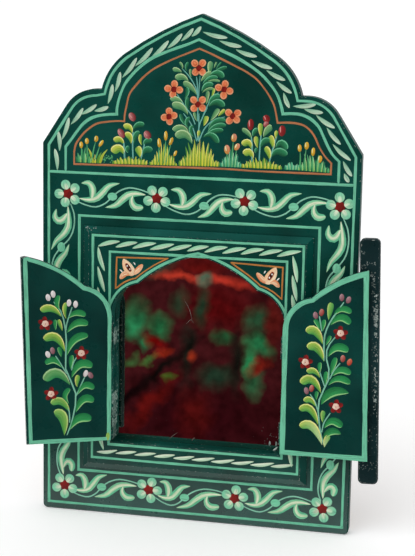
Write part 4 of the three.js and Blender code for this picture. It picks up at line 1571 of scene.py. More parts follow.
# %% The right door's spray
RIGHT_STEMS = (
    (1.2, ((385, 1320), (360, 1230), (345, 1100), (345, 1020), (375, 940), (415, 860),
           (422, 790), (402, 700), (412, 620), (470, 545))),
    (1.2, ((385, 720), (385, 600), (392, 530), (430, 440), (528, 300))),
    (1.0, ((370, 510), (362, 460), (352, 400))),
    (1.0, ((390, 905), (372, 850), (352, 790))),
    (1.0, ((425, 850), (455, 790), (500, 735))),
    (1.0, ((345, 1090), (320, 1010), (285, 955))),
    (1.0, ((368, 1230), (385, 1160), (430, 1090))),
)
RIGHT_LEAVES = (
    (GREEN, 4.2, (352, 500), (345, 455), (316, 425)),
    (GREEN, 4.0, (372, 510), (378, 470), (388, 425)),
    (SPRING, 5.5, (418, 430), (425, 370), (438, 305)),
    (GREEN, 6.0, (455, 400), (505, 330), (580, 375)),
    (GREEN, 7.0, (430, 465), (505, 385), (572, 455)),
    (GREEN, 3.6, (398, 610), (415, 570), (432, 540)),
    (YELLOW, 8.0, (375, 600), (325, 480), (262, 515)),
    (YELLOW, 8.0, (385, 725), (335, 595), (270, 630)),
    (GREEN, 7.5, (415, 690), (470, 600), (558, 650)),
    (GREEN, 3.8, (355, 815), (350, 770), (358, 730)),
    (YELLOW, 5.5, (355, 840), (315, 775), (265, 800)),
    (YELLOW, 8.0, (362, 950), (300, 820), (222, 880)),
    (GREEN, 4.2, (395, 890), (395, 840), (402, 795)),
    (GREEN, 5.0, (432, 815), (450, 750), (470, 695)),
    (GREEN, 6.5, (442, 830), (500, 765), (575, 812)),
    (GREEN, 6.5, (415, 895), (480, 825), (572, 880)),
    (DEEP_GREEN, 8.6, (365, 1030), (430, 920), (562, 948)),
    (GREEN, 3.4, (330, 1000), (328, 965), (336, 935)),
    (YELLOW, 5.5, (325, 1045), (285, 980), (245, 1008)),
    (YELLOW, 7.0, (342, 1175), (290, 1030), (212, 1070)),
    (CREAM, 8.0, (372, 1320), (305, 1150), (215, 1190)),
    (SPRING, 4.2, (376, 1160), (374, 1110), (382, 1075)),
    (GREEN, 7.4, (385, 1200), (440, 1125), (512, 1190)),
    (DEEP_GREEN, 6.8, (382, 1275), (430, 1205), (505, 1240)),
    (CREAM, 5.0, (388, 1335), (392, 1290), (420, 1250)),
)
RIGHT_FLOWERS = ((503, 522), (252, 727), (470, 1045))
RIGHT_BUDS = (
    (MAUVE_BUD, (512, 268), 0), (MAUVE_BUD, (560, 285), -20),
    (MAUVE_BUD, (325, 395), 10), (RED_BUD, (368, 374), -10),
    (RED_BUD, (519, 703), -5), (SCARLET_BUD, (567, 728), -20),
    (MAUVE_BUD, (260, 932), 10), (RED_BUD, (297, 915), -10),
)
print("right:", len(RIGHT_LEAVES), "leaves and", len(RIGHT_BUDS), "buds")

# %% [markdown]
# The leaf's sweep is an arc that is pulled toward its bend. A second, thin stroke along one of
# its sides is the rim that the lighter paint leaves.

# %% Leaves and red flowers
ARC_PULL = 0.32
ARC_STEPS = 16
LEAF_STEPS = 14
RIM_SHARE = 0.17
RIM_PLACE_SHARE = 0.78
RED_PETAL_WIDTH = 3.6
RED_PETAL_STARTS = 0.6
RED_PETAL_ENDS = 5.3
RED_PETAL_STRAY = 0.12
HEART_LEAN = 0.3
DOT_SIZE = 1.0
DOT_DROP = Vector((0, 0.2))


def swept(root, bend, tip, count=ARC_STEPS):
    """A smooth arc from root to tip that is drawn toward the bend but doesn't reach it."""
    pull = bend + (bend - (root + tip) / 2) * ARC_PULL
    steps = [index / count for index in range(count + 1)]
    return [root.lerp(pull, t).lerp(pull.lerp(tip, t), t) for t in steps]


def brushed_leaf(painting, canvas, places, width, paint, rim, rim_inside, profile):
    """One sweep of a two-coloured brush, with a thin light rim along one side."""
    root, bend, tip = places
    turns_left = (bend - root).cross(tip - root) > 0
    sides = paint if turns_left else (paint[1], paint[0], paint[3], paint[2])
    line = resampled(swept(root, bend, tip), LEAF_STEPS)
    painting.lay(canvas, line, width, sides, profile, 1)
    way = (1 if rim_inside else -1) * (1 if turns_left else -1) * width / 2 * RIM_PLACE_SHARE
    total = lengths_along(line)[-1]
    edge = [
        place + side * (way * width_share(profile, gone / total))
        for place, side, gone in zip(line, sides_of(line), lengths_along(line))
    ]
    painting.lay(canvas, edge[2:], width * RIM_SHARE, rim, LENS, 2)


def red_flower(painting, canvas, middle):
    """Five small dark red petals, a pink heart and a dot in it."""
    for petal in range(5):
        out = way_of_petal(math.pi / 2, petal, RED_PETAL_STRAY)
        painting.touch(
            canvas, middle + out * RED_PETAL_STARTS, middle + out * RED_PETAL_ENDS,
            RED_PETAL_WIDTH, DEEP_RED, 2)
    painting.dab(canvas, middle, *FLOWER_HEART_SIZE, FLOWER_HEART, HEART_LEAN, layer=6)
    painting.dab(canvas, middle - DOT_DROP, DOT_SIZE, DOT_SIZE, FLOWER_HEART_DOT, layer=8)


print("a red flower is about", 2 * RED_PETAL_ENDS, "mm across")

# %% [markdown]
# The same spray goes on both faces of a door. The outer face can't be seen in the photo, so it
# is painted as if the inner one showed through: in mirror image.

# %% Sprays on the doors
BUD_WIDTH = 3.4
BUD_HEIGHT = 5.2
LEAF_SIZE = 0.8
STEM_ENDS = (0.1, 0.12)
STUDIES = {
    "left_door": (LEFT_STEMS, LEFT_LEAVES, LEFT_BUDS, LEFT_FLOWERS, (20, 250, 7.467)),
    "right_door": (RIGHT_STEMS, RIGHT_LEAVES, RIGHT_BUDS, RIGHT_FLOWERS, (270, 260, 7.127)),
}


def spray(painting, canvas, placed, stems, leaves, buds, flowers):
    """A whole spray: stems, then leaves, buds and flowers over them."""
    for width, points in stems:
        painting.stroke(canvas, placed(points), width, STEM_PAINT, STEM_ENDS)
    for paint, width, *points in leaves:
        brushed_leaf(
            painting, canvas, placed(points), width * LEAF_SIZE, paint, *LEAF_MANNERS[paint])
    for paint, point, lean in buds:
        middle = placed([point])[0]
        painting.dab(canvas, middle, BUD_WIDTH, BUD_HEIGHT, paint, math.radians(-lean), layer=2)
    for middle in placed(flowers):
        red_flower(painting, canvas, middle)


for door in DOORS:
    *study, crop = STUDIES[door]
    tracing = Tracing(inner_faces[door], *crop)
    sprays = Painting(door + "_sprays", door)
    spray(sprays, inner_faces[door], tracing.places, *study)
    spray(sprays, outer_faces[door], tracing.turned_over, *study)
    sprays.finish(ornament_paint)

# %% [markdown]
# ## The two little irises
# In the corners above the arch, an orange line closes a three-sided field, and in it lies a
# flower with an open throat: an oval with a pale rim, a dark heart with two white dots, and two
# orange petals at its sides.

# %% Corner fields
OCHRE_LINE = ("#b5702e", "#c07f3c")
IRIS_ORANGE = ("#e08650", "#f2c39c")
IRIS_PALE = ("#f6dcb8", "#f0bd90")
WHITE_TOUCH = ("#f2efe6",)
FIELD_LEFT = Tracing(surround_face, 30, 180, CLOSE_UP)
FIELD_RIGHT = Tracing(surround_face, 185, 180, CLOSE_UP)
LEFT_FIELD = (
    ((735, 655), (1190, 668)),
    ((1190, 668), (1050, 745), (930, 830), (830, 875), (726, 915)),
    ((726, 915), (735, 655)),
)
RIGHT_FIELD = (
    ((390, 700), (830, 742)),
    ((830, 742), (820, 1010)),
    ((820, 1010), (740, 945), (640, 900), (520, 800), (390, 700)),
)
IRIS = {
    "body": ((790, 668), (826, 735), (878, 808)),
    "wings": (((868, 800), (905, 772), (955, 716)), ((850, 800), (808, 792), (762, 838))),
    "folds": (((878, 792), (908, 765), (938, 735)), ((838, 795), (800, 800), (772, 826))),
    "marks": (((876, 698), (886, 708), (892, 722)), ((760, 760), (772, 768), (784, 784))),
    "dots": ((824, 728), (846, 756)),
    "middle": (834, 742),
}
RIGHT_IRIS_MIRROR = 1562
RIGHT_IRIS_DROP = 72
IRIS_BODY_WIDTH = 7.4
IRIS_BODY_ENDS = (0.75, 0.5)
IRIS_WING_WIDTH = 4.2
IRIS_FOLD_WIDTH = 1.8
IRIS_MARK_WIDTH = 0.9
IRIS_DOT_SIZE = 1.5
IRIS_EYE = ((4.4, 8.4, ("#8a2a10", "#a03a14")), (3.2, 6.8, ("#38100a", "#4a160c")))
FIELD_GAP = 4.3
FIELD_LINE_WIDTH = 1.15


def kept_outside(places, edge, gap):
    """Places moved away from an edge wherever they lie nearer to it than a gap."""
    fence = moved_in(edge, gap)
    kept = []
    for place in places:
        index = min(range(len(fence)), key=lambda i: (fence[i] - place).length)
        inside = (place - fence[index]).dot(fence[index] - edge[index]) < 0
        kept.append(fence[index] if inside else place)
    return kept


def corner_field(painting, tracing, field, placed):
    """An ochre three-sided line with an iris in it."""
    steps = []
    for run in field:
        run = kept_outside(curve_through(tracing.places(run)), window_edge, FIELD_GAP)
        steps += straight_runs(run)
    painting.line(surround_face, steps, FIELD_LINE_WIDTH, OCHRE_LINE, closed=True)
    for wing in IRIS["wings"]:
        painting.stroke(surround_face, placed(wing), IRIS_WING_WIDTH, IRIS_ORANGE, ROUND)
    for fold in IRIS["folds"]:
        painting.stroke(
            surround_face, placed(fold), IRIS_FOLD_WIDTH, IRIS_PALE, LENS, layer=1)
    body = placed(IRIS["body"])
    painting.stroke(
        surround_face, body, IRIS_BODY_WIDTH, IRIS_PALE, IRIS_BODY_ENDS, layer=1)
    reach = body[-1] - body[0]
    middle = placed([IRIS["middle"]])[0]
    lean = math.atan2(reach.x, reach.y)
    for step, (width, height, paint) in enumerate(IRIS_EYE):
        painting.dab(surround_face, middle, width, height, paint, lean, layer=2 + step)
    for dot in placed(IRIS["dots"]):
        painting.dab(surround_face, dot, IRIS_DOT_SIZE, IRIS_DOT_SIZE, WHITE_TOUCH, layer=4)
    for mark in IRIS["marks"]:
        painting.stroke(
            surround_face, placed(mark), IRIS_MARK_WIDTH, WHITE_TOUCH, LENS, layer=1)


def mirrored(points):
    """The left flower's points turned over for the right corner's crop."""
    return FIELD_RIGHT.places(
        [(RIGHT_IRIS_MIRROR - x, y + RIGHT_IRIS_DROP) for x, y in points])


fields = Painting("corner_irises", "frame")
corner_field(fields, FIELD_LEFT, LEFT_FIELD, FIELD_LEFT.places)
corner_field(fields, FIELD_RIGHT, RIGHT_FIELD, mirrored)
fields.finish(ornament_paint)

# %% [markdown]
# ## The garden of the top
# Under the crown grows a garden: a tall plant with six orange flowers, a smaller plant with red
# buds on each side, and tufts of grass and tulips along the ground line. It is the finest work
# on the mirror, so its points are picked on crops enlarged fifteen to twenty times.

# %% Paints of the garden
PALE_LEAF = ("#277548", "#78aa66", "#3a8657", "#8db67a")
DEEP_LEAF = ("#08482e", "#288a54", "#0c5236", "#2f9460")
LIME_LEAF = ("#3f8a2c", "#c3c829", "#559c3a", "#d8d858")
DEEP_RIM = ("#57b487", "#86cba0")
PALE_RIM = ("#a9cf92", "#c2dba6")
LIME_RIM = ("#dbe06a", "#eceaa6")
TEAL_STEM = ("#5aa79b", "#76b8a6")
LIME_GRASS = (
    ("#3f7d2b", "#5f9a2e", "#4f9038", "#6fa844"), ("#8aa828", "#b0bd2c", "#9fb83e", "#c6cc55"),
    ("#c2bf25", "#d6cf35", "#d3d453", "#e6e08e"))
GREEN_GRASS = (
    ("#14603a", "#1f7747", "#1f7a4c", "#2f8d5a"), ("#2a8a50", "#46a463", "#4bab6c", "#74c084"),
    ("#74b84f", "#9cc766", "#7cc68f", "#b4dfa6"))
TEAL_GRASS = (
    ("#0f6344", "#1a7a55", "#21825d", "#369670"), ("#2a9468", "#46ab7c", "#4fb387", "#7bcb9f"),
    ("#4fae6c", "#86c983", "#8ad3a4", "#c0e6c0"))
PETAL_RIM = ("#d66f41", "#dd8a57", "#e8966a", "#eaa67c")
ORANGE_PETAL = ("#d2562f", "#d8693a", "#e17147", "#e27e50")
ORANGE_HEART = ("#d66a38", "#de7d42", "#e4885a", "#e59060")
DARK_EYE = ("#6e0a03", "#8e1208")
DARK_EYE_SIZE = 4.5
PETAL_RINGS = ((1.0, PETAL_RIM, 2), (0.8, ORANGE_PETAL, 3), (0.46, ORANGE_HEART, 4))
RED_TULIP = ("#a8322f", "#6b0c10", "#a31c1d", "#7d0f12")
PINK_TULIP = ("#a8484b", "#6f0d10", "#cf9a98", "#8a1619")
GOLD_BUD = ("#b98e12", "#c99a1c", "#e5c92f", "#dc9a34")
PEACH_BUD = ("#b98a22", "#cf7f35", "#dc9a72", "#d98b78")
GOLD_GLINT = ("#f1e6b0",)
RED_GLINT = ("#d98f88",)

CROWN_VIEW = Tracing(board_face, 160, 45, 19.6)
LEFT_VIEW = Tracing(board_face, 75, 115, 17.42)
RIGHT_VIEW = Tracing(board_face, 230, 110, 14.93)
root, tip = CROWN_VIEW.places(((0, 0), (100, 0)))
print("100 points of the crown's crop are", round((tip - root).length, 2), "mm")

# %% [markdown]
# The tall plant's stems spread like a fan under its six flowers. A flower is four round petals,
# each painted three times in a smaller and lighter round, and a dark eye over them.

# %% The tall plant
TALL_FLOWERS = (
    ((765, 455), ((675, 350), (840, 345), (690, 535), (835, 535))),
    ((1258, 870), ((1280, 755), (1375, 905), (1245, 1000), (1140, 830))),
    ((275, 870), ((285, 755), (390, 880), (250, 975), (145, 850))),
    ((745, 1165), ((655, 1070), (840, 1070), (660, 1245), (840, 1240))),
    ((175, 1405), ((180, 1290), (280, 1380), (190, 1505), (80, 1420))),
    ((1425, 1395), ((1340, 1320), (1530, 1330), (1355, 1490), (1505, 1470))),
)
TALL_STEMS = ((CROWN_VIEW, (
    (0.9, ((740, 1500), (735, 1000), (680, 790), (560, 600), (440, 470))),
    (0.8, ((755, 1040), (770, 820), (785, 600))), (0.9, ((745, 990), (735, 800), (715, 620))),
    (0.9, ((800, 1500), (930, 1190), (1030, 1050), (1150, 930))),
    (0.9, ((690, 1560), (620, 1380), (520, 1250), (420, 1100), (330, 960))),
)), (LOWER_LEFT, (
    (0.9, ((1415, 480), (1370, 340), (1300, 240))), (0.9, ((1430, 480), (1432, 240))),
)), (LOWER_RIGHT, (
    (0.9, ((120, 470), (165, 370), (240, 300), (340, 270))),
    (0.9, ((105, 470), (125, 330), (190, 190))),
)))
TALL_LEAVES = ((CROWN_VIEW, (
    (PALE_LEAF, 2.4, (430, 480), (445, 400), (380, 340)),
    (PALE_LEAF, 4.2, (430, 540), (350, 480), (250, 480)),
    (DEEP_LEAF, 3.2, (530, 510), (500, 430), (560, 340)),
    (PALE_LEAF, 2.4, (615, 640), (590, 550), (600, 470)),
    (PALE_LEAF, 6.0, (560, 720), (440, 590), (310, 660)),
    (PALE_LEAF, 5.6, (720, 980), (610, 800), (455, 740)),
    (DEEP_LEAF, 4.0, (480, 1060), (550, 930), (520, 830)),
    (PALE_LEAF, 5.0, (455, 1150), (350, 1040), (205, 1070)),
    (PALE_LEAF, 7.0, (545, 1370), (440, 1180), (240, 1180)),
    (DEEP_LEAF, 4.0, (560, 1280), (515, 1150), (555, 1030)),
    (PALE_LEAF, 2.8, (725, 1500), (690, 1400), (670, 1320)),
    (LIME_LEAF, 4.6, (855, 1590), (890, 1490), (920, 1395)),
    (PALE_LEAF, 3.6, (905, 1170), (925, 1030), (940, 900)),
    (PALE_LEAF, 5.2, (985, 590), (970, 450), (1005, 325)),
    (PALE_LEAF, 1.8, (1055, 460), (1085, 390), (1110, 335)),
    (DEEP_LEAF, 2.0, (1090, 490), (1150, 400), (1205, 340)),
    (DEEP_LEAF, 3.6, (1030, 570), (1150, 480), (1315, 435)),
    (DEEP_LEAF, 6.4, (960, 620), (1130, 510), (1240, 640)),
    (PALE_LEAF, 5.0, (800, 720), (890, 600), (1010, 540)),
    (DEEP_LEAF, 5.0, (830, 770), (990, 630), (1130, 650)),
    (PALE_LEAF, 2.4, (910, 730), (1050, 680), (1175, 715)),
    (DEEP_LEAF, 6.0, (820, 920), (900, 770), (1040, 790)),
    (PALE_LEAF, 2.6, (825, 940), (930, 850), (1050, 860)),
    (LIME_LEAF, 2.6, (1000, 1040), (1045, 950), (1060, 850)),
    (DEEP_LEAF, 6.5, (940, 1190), (1050, 1020), (1180, 1010)),
    (DEEP_LEAF, 6.5, (955, 1210), (1120, 1070), (1255, 1210)),
    (PALE_LEAF, 4.6, (985, 1490), (1080, 1360), (1150, 1250)),
    (LIME_LEAF, 3.2, (1140, 1400), (1210, 1320), (1275, 1270)),
)), (LOWER_LEFT, (
    (DEEP_LEAF, 3.6, (1330, 350), (1290, 300), (1275, 245)),
    (DEEP_LEAF, 4.0, (1345, 365), (1315, 315), (1355, 275)),
    (PALE_LEAF, 5.4, (1345, 405), (1290, 340), (1212, 385)),
    (PALE_LEAF, 8.0, (1375, 500), (1320, 390), (1238, 440)),
    (DEEP_LEAF, 4.0, (1390, 440), (1355, 390), (1372, 345)),
    (LIME_LEAF, 2.8, (1425, 455), (1428, 420), (1436, 385)),
)), (LOWER_RIGHT, (
    (DEEP_LEAF, 5.4, (195, 385), (255, 290), (345, 305)),
    (DEEP_LEAF, 5.4, (185, 415), (255, 340), (348, 345)),
    (DEEP_LEAF, 5.0, (172, 435), (235, 385), (325, 385)),
    (DEEP_LEAF, 6.0, (155, 445), (225, 400), (280, 492)),
    (DEEP_LEAF, 3.6, (60, 430), (38, 385), (70, 345)),
    (LIME_LEAF, 2.8, (115, 450), (112, 420), (120, 385)),
)))
ORANGE_PETAL_SIZE = 5.0
ORANGE_PETAL_HALF = ORANGE_PETAL_SIZE * 0.54
ORANGE_PETAL_PULL = 0.09
ORANGE_PETAL_STEPS = 9
GARDEN_LEAF_SIZE = 0.77
TALL_STEM_ENDS = (0.06, 0.15)
EYE_LEAN = 0.4


def garden_leaf(painting, tracing, paint, width, *points):
    """A leaf whose lighter side lies outside its bend."""
    rim = {DEEP_LEAF: DEEP_RIM, LIME_LEAF: LIME_RIM}.get(paint, PALE_RIM)
    brushed_leaf(
        painting, tracing.canvas, tracing.places(points), width * GARDEN_LEAF_SIZE, paint,
        rim, False, LEAF if paint is DEEP_LEAF else HEADED)


def orange_flower(painting, middle, petals):
    """Four round petals, each of three rounds inside each other, and a dark eye."""
    for petal in petals:
        out = (petal - middle).normalized()
        petal = petal.lerp(middle, ORANGE_PETAL_PULL)
        for size, paint, layer in PETAL_RINGS:
            half = out * (ORANGE_PETAL_HALF * size)
            painting.touch(
                board_face, petal - half, petal + half, ORANGE_PETAL_SIZE * size, paint,
                layer, ORANGE_PETAL_STEPS)
    painting.dab(board_face, middle, DARK_EYE_SIZE, DARK_EYE_SIZE, DARK_EYE, EYE_LEAN, layer=5)


def green_parts(painting, all_stems, all_leaves, ends):
    """A plant's stems and then its leaves, each traced on its own view."""
    for tracing, stems in all_stems:
        for width, points in stems:
            painting.stroke(board_face, tracing.places(points), width, TEAL_STEM, ends)
    for tracing, leaves in all_leaves:
        for leaf in leaves:
            garden_leaf(painting, tracing, *leaf)


tall_plant = Painting("tall_orange_plant", "frame")
green_parts(tall_plant, TALL_STEMS, TALL_LEAVES, TALL_STEM_ENDS)
for middle, petals in TALL_FLOWERS:
    orange_flower(tall_plant, CROWN_VIEW.places([middle])[0], CROWN_VIEW.places(petals))
tall_plant.finish(ornament_paint)

# %% [markdown]
# The two smaller plants are made by the same functions from other tables. Only their stems and
# leaves are painted here. Their buds are dabbed together with the tulips', after the grass.

# %% The plants with red buds
BUD_PLANT_STEMS = ((LEFT_VIEW, (
    (1.1, ((1010, 760), (1003, 500), (1012, 290))), (1.3, ((865, 760), (855, 600), (850, 480))),
    (1.1, ((1150, 760), (1180, 640), (1215, 480))),
)), (RIGHT_VIEW, (
    (1.2, ((325, 780), (330, 560), (318, 400))), (1.1, ((435, 760), (447, 540), (465, 370))),
    (1.1, ((585, 780), (635, 600), (700, 390))),
)))
BUD_PLANT_LEAVES = ((LEFT_VIEW, (
    (LIME_LEAF, 5.6, (995, 320), (960, 180), (850, 210)),
    (DEEP_LEAF, 5.4, (1010, 260), (1080, 150), (1205, 175)),
    (LIME_LEAF, 6.0, (975, 500), (965, 340), (875, 350)),
    (DEEP_LEAF, 5.6, (1030, 500), (1040, 350), (1130, 300)),
    (LIME_LEAF, 3.4, (1165, 530), (1125, 430), (1145, 340)),
    (LIME_LEAF, 5.6, (855, 520), (790, 395), (680, 450)),
    (DEEP_LEAF, 5.4, (1195, 540), (1230, 440), (1340, 450)),
    (LIME_LEAF, 8.0, (860, 700), (790, 530), (650, 650)),
    (DEEP_LEAF, 4.6, (930, 660), (895, 600), (945, 555)),
    (LIME_LEAF, 6.6, (1130, 740), (1125, 640), (1085, 555)),
    (DEEP_LEAF, 6.4, (1175, 710), (1220, 580), (1345, 620)),
)), (RIGHT_VIEW, (
    (PALE_LEAF, 4.4, (330, 440), (275, 335), (180, 285)),
    (DEEP_LEAF, 4.8, (345, 400), (360, 320), (415, 285)),
    (LIME_LEAF, 4.6, (465, 410), (452, 300), (458, 200)),
    (PALE_LEAF, 6.2, (500, 410), (550, 290), (625, 245)),
    (LIME_LEAF, 3.2, (690, 440), (682, 370), (700, 310)),
    (LIME_LEAF, 6.2, (322, 590), (290, 450), (185, 520)),
    (LIME_LEAF, 4.4, (415, 570), (388, 480), (392, 395)),
    (DEEP_LEAF, 5.8, (455, 570), (500, 445), (595, 460)),
    (LIME_LEAF, 5.4, (650, 590), (640, 480), (598, 385)),
    (DEEP_LEAF, 7.0, (680, 570), (770, 450), (840, 590)),
    (LIME_LEAF, 6.8, (340, 740), (310, 600), (205, 660)),
    (LIME_LEAF, 5.4, (590, 750), (590, 640), (525, 555)),
    (DEEP_LEAF, 7.2, (615, 710), (700, 580), (850, 675)),
    (DEEP_LEAF, 3.6, (380, 650), (390, 600), (410, 570)),
)))
# Each bud: its paint, its middle, its width and height in millimetres and its lean
GARDEN_BUDS = ((LEFT_VIEW, (
    (PINK_TULIP, (998, 32), 4.8, 6.6, -30), (PINK_TULIP, (808, 318), 4.6, 7.2, -35),
    (PINK_TULIP, (1262, 350), 5.0, 6.6, -30),
)), (RIGHT_VIEW, (
    (RED_TULIP, (310, 218), 4.4, 7.8, 4), (RED_TULIP, (545, 130), 4.8, 5.4, -20),
    (PINK_TULIP, (540, 212), 3.6, 4.6, 25), (RED_TULIP, (778, 312), 5.0, 7.6, 5),
    (PEACH_BUD, (60, 415), 4.0, 5.8, 10), (PEACH_BUD, (105, 550), 3.6, 5.4, 30),
)), (LOWER_RIGHT, (
    (PEACH_BUD, (357, 547), 4.2, 6.6, -5),
)), (RIGHT_VIEW, (
    (GOLD_BUD, (1040, 570), 3.2, 5.0, 0), (GOLD_BUD, (1145, 535), 3.6, 5.4, 5),
    (GOLD_BUD, (1242, 625), 3.2, 6.0, 5), (GOLD_BUD, (1342, 735), 3.8, 5.2, 10),
)), (LEFT_VIEW, (
    (GOLD_BUD, (108, 520), 3.2, 4.8, 0), (GOLD_BUD, (207, 455), 3.4, 4.4, 0),
    (GOLD_BUD, (370, 415), 3.4, 4.4, 10), (GOLD_BUD, (455, 495), 2.8, 5.6, 35),
)), (LOWER_LEFT, (
    (GOLD_BUD, (1095, 490), 3.0, 6.6, -3), (GOLD_BUD, (1151, 430), 3.0, 6.8, 0),
    (GOLD_BUD, (1196, 478), 2.8, 6.2, 22), (GOLD_BUD, (1231, 580), 2.4, 4.4, 25),
)))

bud_plants = Painting("red_bud_plants", "frame")
green_parts(bud_plants, BUD_PLANT_STEMS, BUD_PLANT_LEAVES, STEM_ENDS)
print(bud_plants.name, "so far has", bud_plants.count, "strokes")

# %% [markdown]
# Grass is made by flicks of a thin brush from the ground upward, so a tuft is a loop over its
# blades. The darkest are laid first and the lightest, which are thinner, over them.

# %% Grass
# Each tuft: its paints, the ends of its ground line, its number of blades, their tallest and
# lowest height on the crop, and how far they spread
TUFTS = ((LOWER_LEFT, (
    (GREEN_GRASS, (395, 655), (520, 662), 9, 130, 70, 0.25),
    (LIME_GRASS, (505, 662), (600, 664), 5, 130, 120, 0.8),
    (LIME_GRASS, (705, 668), (990, 676), 30, 70, 46, 0.25),
    (LIME_GRASS, (1015, 676), (1240, 684), 26, 190, 30, 0.15),
    (LIME_GRASS, (1265, 684), (1600, 692), 40, 245, 44, 0.15),
)), (LOWER_RIGHT, (
    (TEAL_GRASS, (300, 692), (470, 700), 20, 150, 50, 0.2),
    (LIME_GRASS, (475, 700), (815, 716), 34, 95, 38, 0.25),
    (TEAL_GRASS, (848, 718), (960, 724), 14, 70, 50, 0.3),
    (GREEN_GRASS, (940, 722), (1215, 745), 26, 165, 40, 0.2),
)))
GRASS_WIDTH = 1.9
WIDEST_LAYER = 1.25
LAYER_STEP = 0.25
BULGE = 2.2
BLADE_HEIGHTS = (0.58, 1.06)
BLADE_WIDTHS = (0.8, 1.2)
BLADE_STRAY = 0.1
BEND_HEIGHT = 0.55
BEND_LEAN = 0.35


def tuft(painting, tracing, paint, first, last, count, tall, low, spreading):
    """Blades of grass on a ground line, tall in the middle and leaning outward."""
    for index in range(count):
        t = (index + 0.5) / count
        x = first[0] + (last[0] - first[0]) * t
        y = first[1] + (last[1] - first[1]) * t
        bulge = 1 - abs(2 * t - 1) ** BULGE
        height = (low + (tall - low) * bulge ** 2) * hand.uniform(*BLADE_HEIGHTS)
        stray = hand.uniform(-BLADE_STRAY, BLADE_STRAY)
        lean = (2 * t - 1) * spreading * height + stray * height
        bend = (x + lean * BEND_LEAN, y - height * BEND_HEIGHT)
        points = ((x, y), bend, (x + lean, y - height))
        layer = index % len(paint)
        width = GRASS_WIDTH * (WIDEST_LAYER - layer * LAYER_STEP) * hand.uniform(*BLADE_WIDTHS)
        painting.stroke(
            board_face, tracing.places(points), width, paint[layer], GRASS, layer=1 + layer)


grass = Painting("grass_and_tulips", "frame")
for tracing, tufts in TUFTS:
    for settings in tufts:
        tuft(grass, tracing, *settings)
print("the tufts have", grass.count, "blades")

# %% [markdown]
# Tulips and buds stand between the tufts. Each is one round dab with a small glint on it, which
# makes it look plump. The red ones belong to the plants, and the gold ones to the grass.

# %% Tulips and buds
GOLD_BUD_SHARE = 0.86
GLINT_SHARE = 0.22
GLINT_WIDTH = 1.3
GLINT_HEIGHT = 0.6
GLINT_RISE = 0.4
GLINT_LEAN = 8
TULIP_STEM_WIDTH = 1.2
TULIP_STEMS = ((LEFT_VIEW, (
    ((120, 780), (115, 600), (108, 530)), ((215, 780), (212, 620), (207, 470)),
    ((290, 800), (320, 620), (365, 440)), ((340, 800), (390, 660), (440, 520)),
)), (LOWER_LEFT, (
    ((1085, 670), (1092, 580), (1095, 500)), ((1130, 670), (1145, 560), (1151, 450)),
    ((1150, 670), (1175, 570), (1196, 490)),
)), (RIGHT_VIEW, (
    ((20, 840), (35, 640), (50, 440)), ((60, 840), (80, 700), (100, 580)),
)), (LOWER_RIGHT, (
    ((350, 690), (356, 620), (357, 560)),
)), (RIGHT_VIEW, (
    ((1040, 880), (1050, 720), (1042, 590)), ((1100, 880), (1120, 700), (1140, 560)),
    ((1200, 900), (1225, 780), (1240, 650)), ((1320, 910), (1330, 840), (1340, 760)),
)))
for tracing, stems in TULIP_STEMS:
    for points in stems:
        grass.stroke(
            board_face, tracing.places(points), TULIP_STEM_WIDTH, GREEN_GRASS[1], GRASS, layer=3)


def garden_bud(tracing, paint, point, width, height, lean):
    """A dab with its glint, in the painting that it belongs to."""
    red = paint in (PINK_TULIP, RED_TULIP)
    painting = bud_plants if red else grass
    middle = tracing.places([point])[0]
    width *= GOLD_BUD_SHARE if paint is GOLD_BUD else 1
    painting.dab(board_face, middle, width, height, paint, math.radians(lean), layer=3)
    aside = Vector((-width, height * GLINT_RISE)) * GLINT_SHARE
    painting.dab(
        board_face, middle + aside, width * GLINT_SHARE * GLINT_WIDTH, height * GLINT_HEIGHT,
        RED_GLINT if red else GOLD_GLINT, math.radians(lean - GLINT_LEAN), layer=4)


for tracing, buds in GARDEN_BUDS:
    for bud in buds:
        garden_bud(tracing, *bud)

DOTTED_X = (590, 700)
DOTTED_Y = (590, 655)
DOT_COUNT = 34
GRASS_DOT = (0.6, 1.1)
DOT_LEAN = 0.5
for _ in range(DOT_COUNT):
    spot = LOWER_LEFT.places([(hand.uniform(*DOTTED_X), hand.uniform(*DOTTED_Y))])[0]
    lean = hand.uniform(-DOT_LEAN, DOT_LEAN)
    grass.dab(board_face, spot, *GRASS_DOT, GREEN_GRASS[1], lean, layer=1)
bud_plants.finish(ornament_paint)
grass.finish(ornament_paint)

# %% [markdown]
# ## Wear
# The doors have rubbed and the strip has knocked against its neighbours for years, and there
# the enamel has flaked down to the white primer. The flakes are small and lie in rows and
# clusters where wood meets wood, so each cluster is a loop over small irregular touches. The
# places of the clusters are rectangles on the photo, given by their low and high corners.

# %% Chalky primer
CHALK_WHITE = ("#e6eae4", "#d5dcd6", "#f1f3ee", "#dfe4dd")
RUBBED_GREY = ("#6c7876", "#a9b0ac", "#5e6b69", "#8b9591")
PEELED_GREY = ("#8f9b97", "#bcc5c0", "#7d8a86", "#a9b3ae")
PRIMER_DIRT_MM = 1.6
DIRT_SHADE = "#c4ccc6"
CHALK_DULLNESS = 0.9
CHALK_SHINE = 0.1


def chalky_primer():
    """Primer: chalk and glue, dead flat and a little dirty, as grey as each flake's paint."""
    material, tree, shader = new_material("chalky_primer")
    paint = add_node(tree, "Attribute", None, "Color", attribute_name="paint")
    dirt = mottled(tree, PRIMER_DIRT_MM, detail=4, band=MIDDLE_BAND)
    shade = add_node(tree, "Mix", {SHARE: dirt, UNDER: DIRT_SHADE, OVER: "#ffffff"}, **COLOURS)
    colour = add_node(tree, "Mix", {SHARE: 1.0, UNDER: paint, OVER: shade}, **TINTS)
    fill(tree, shader, {
        "Base Color": colour, "Roughness": CHALK_DULLNESS, "Specular IOR Level": CHALK_SHINE})
    return material


primer = chalky_primer()
print("made", primer.name)

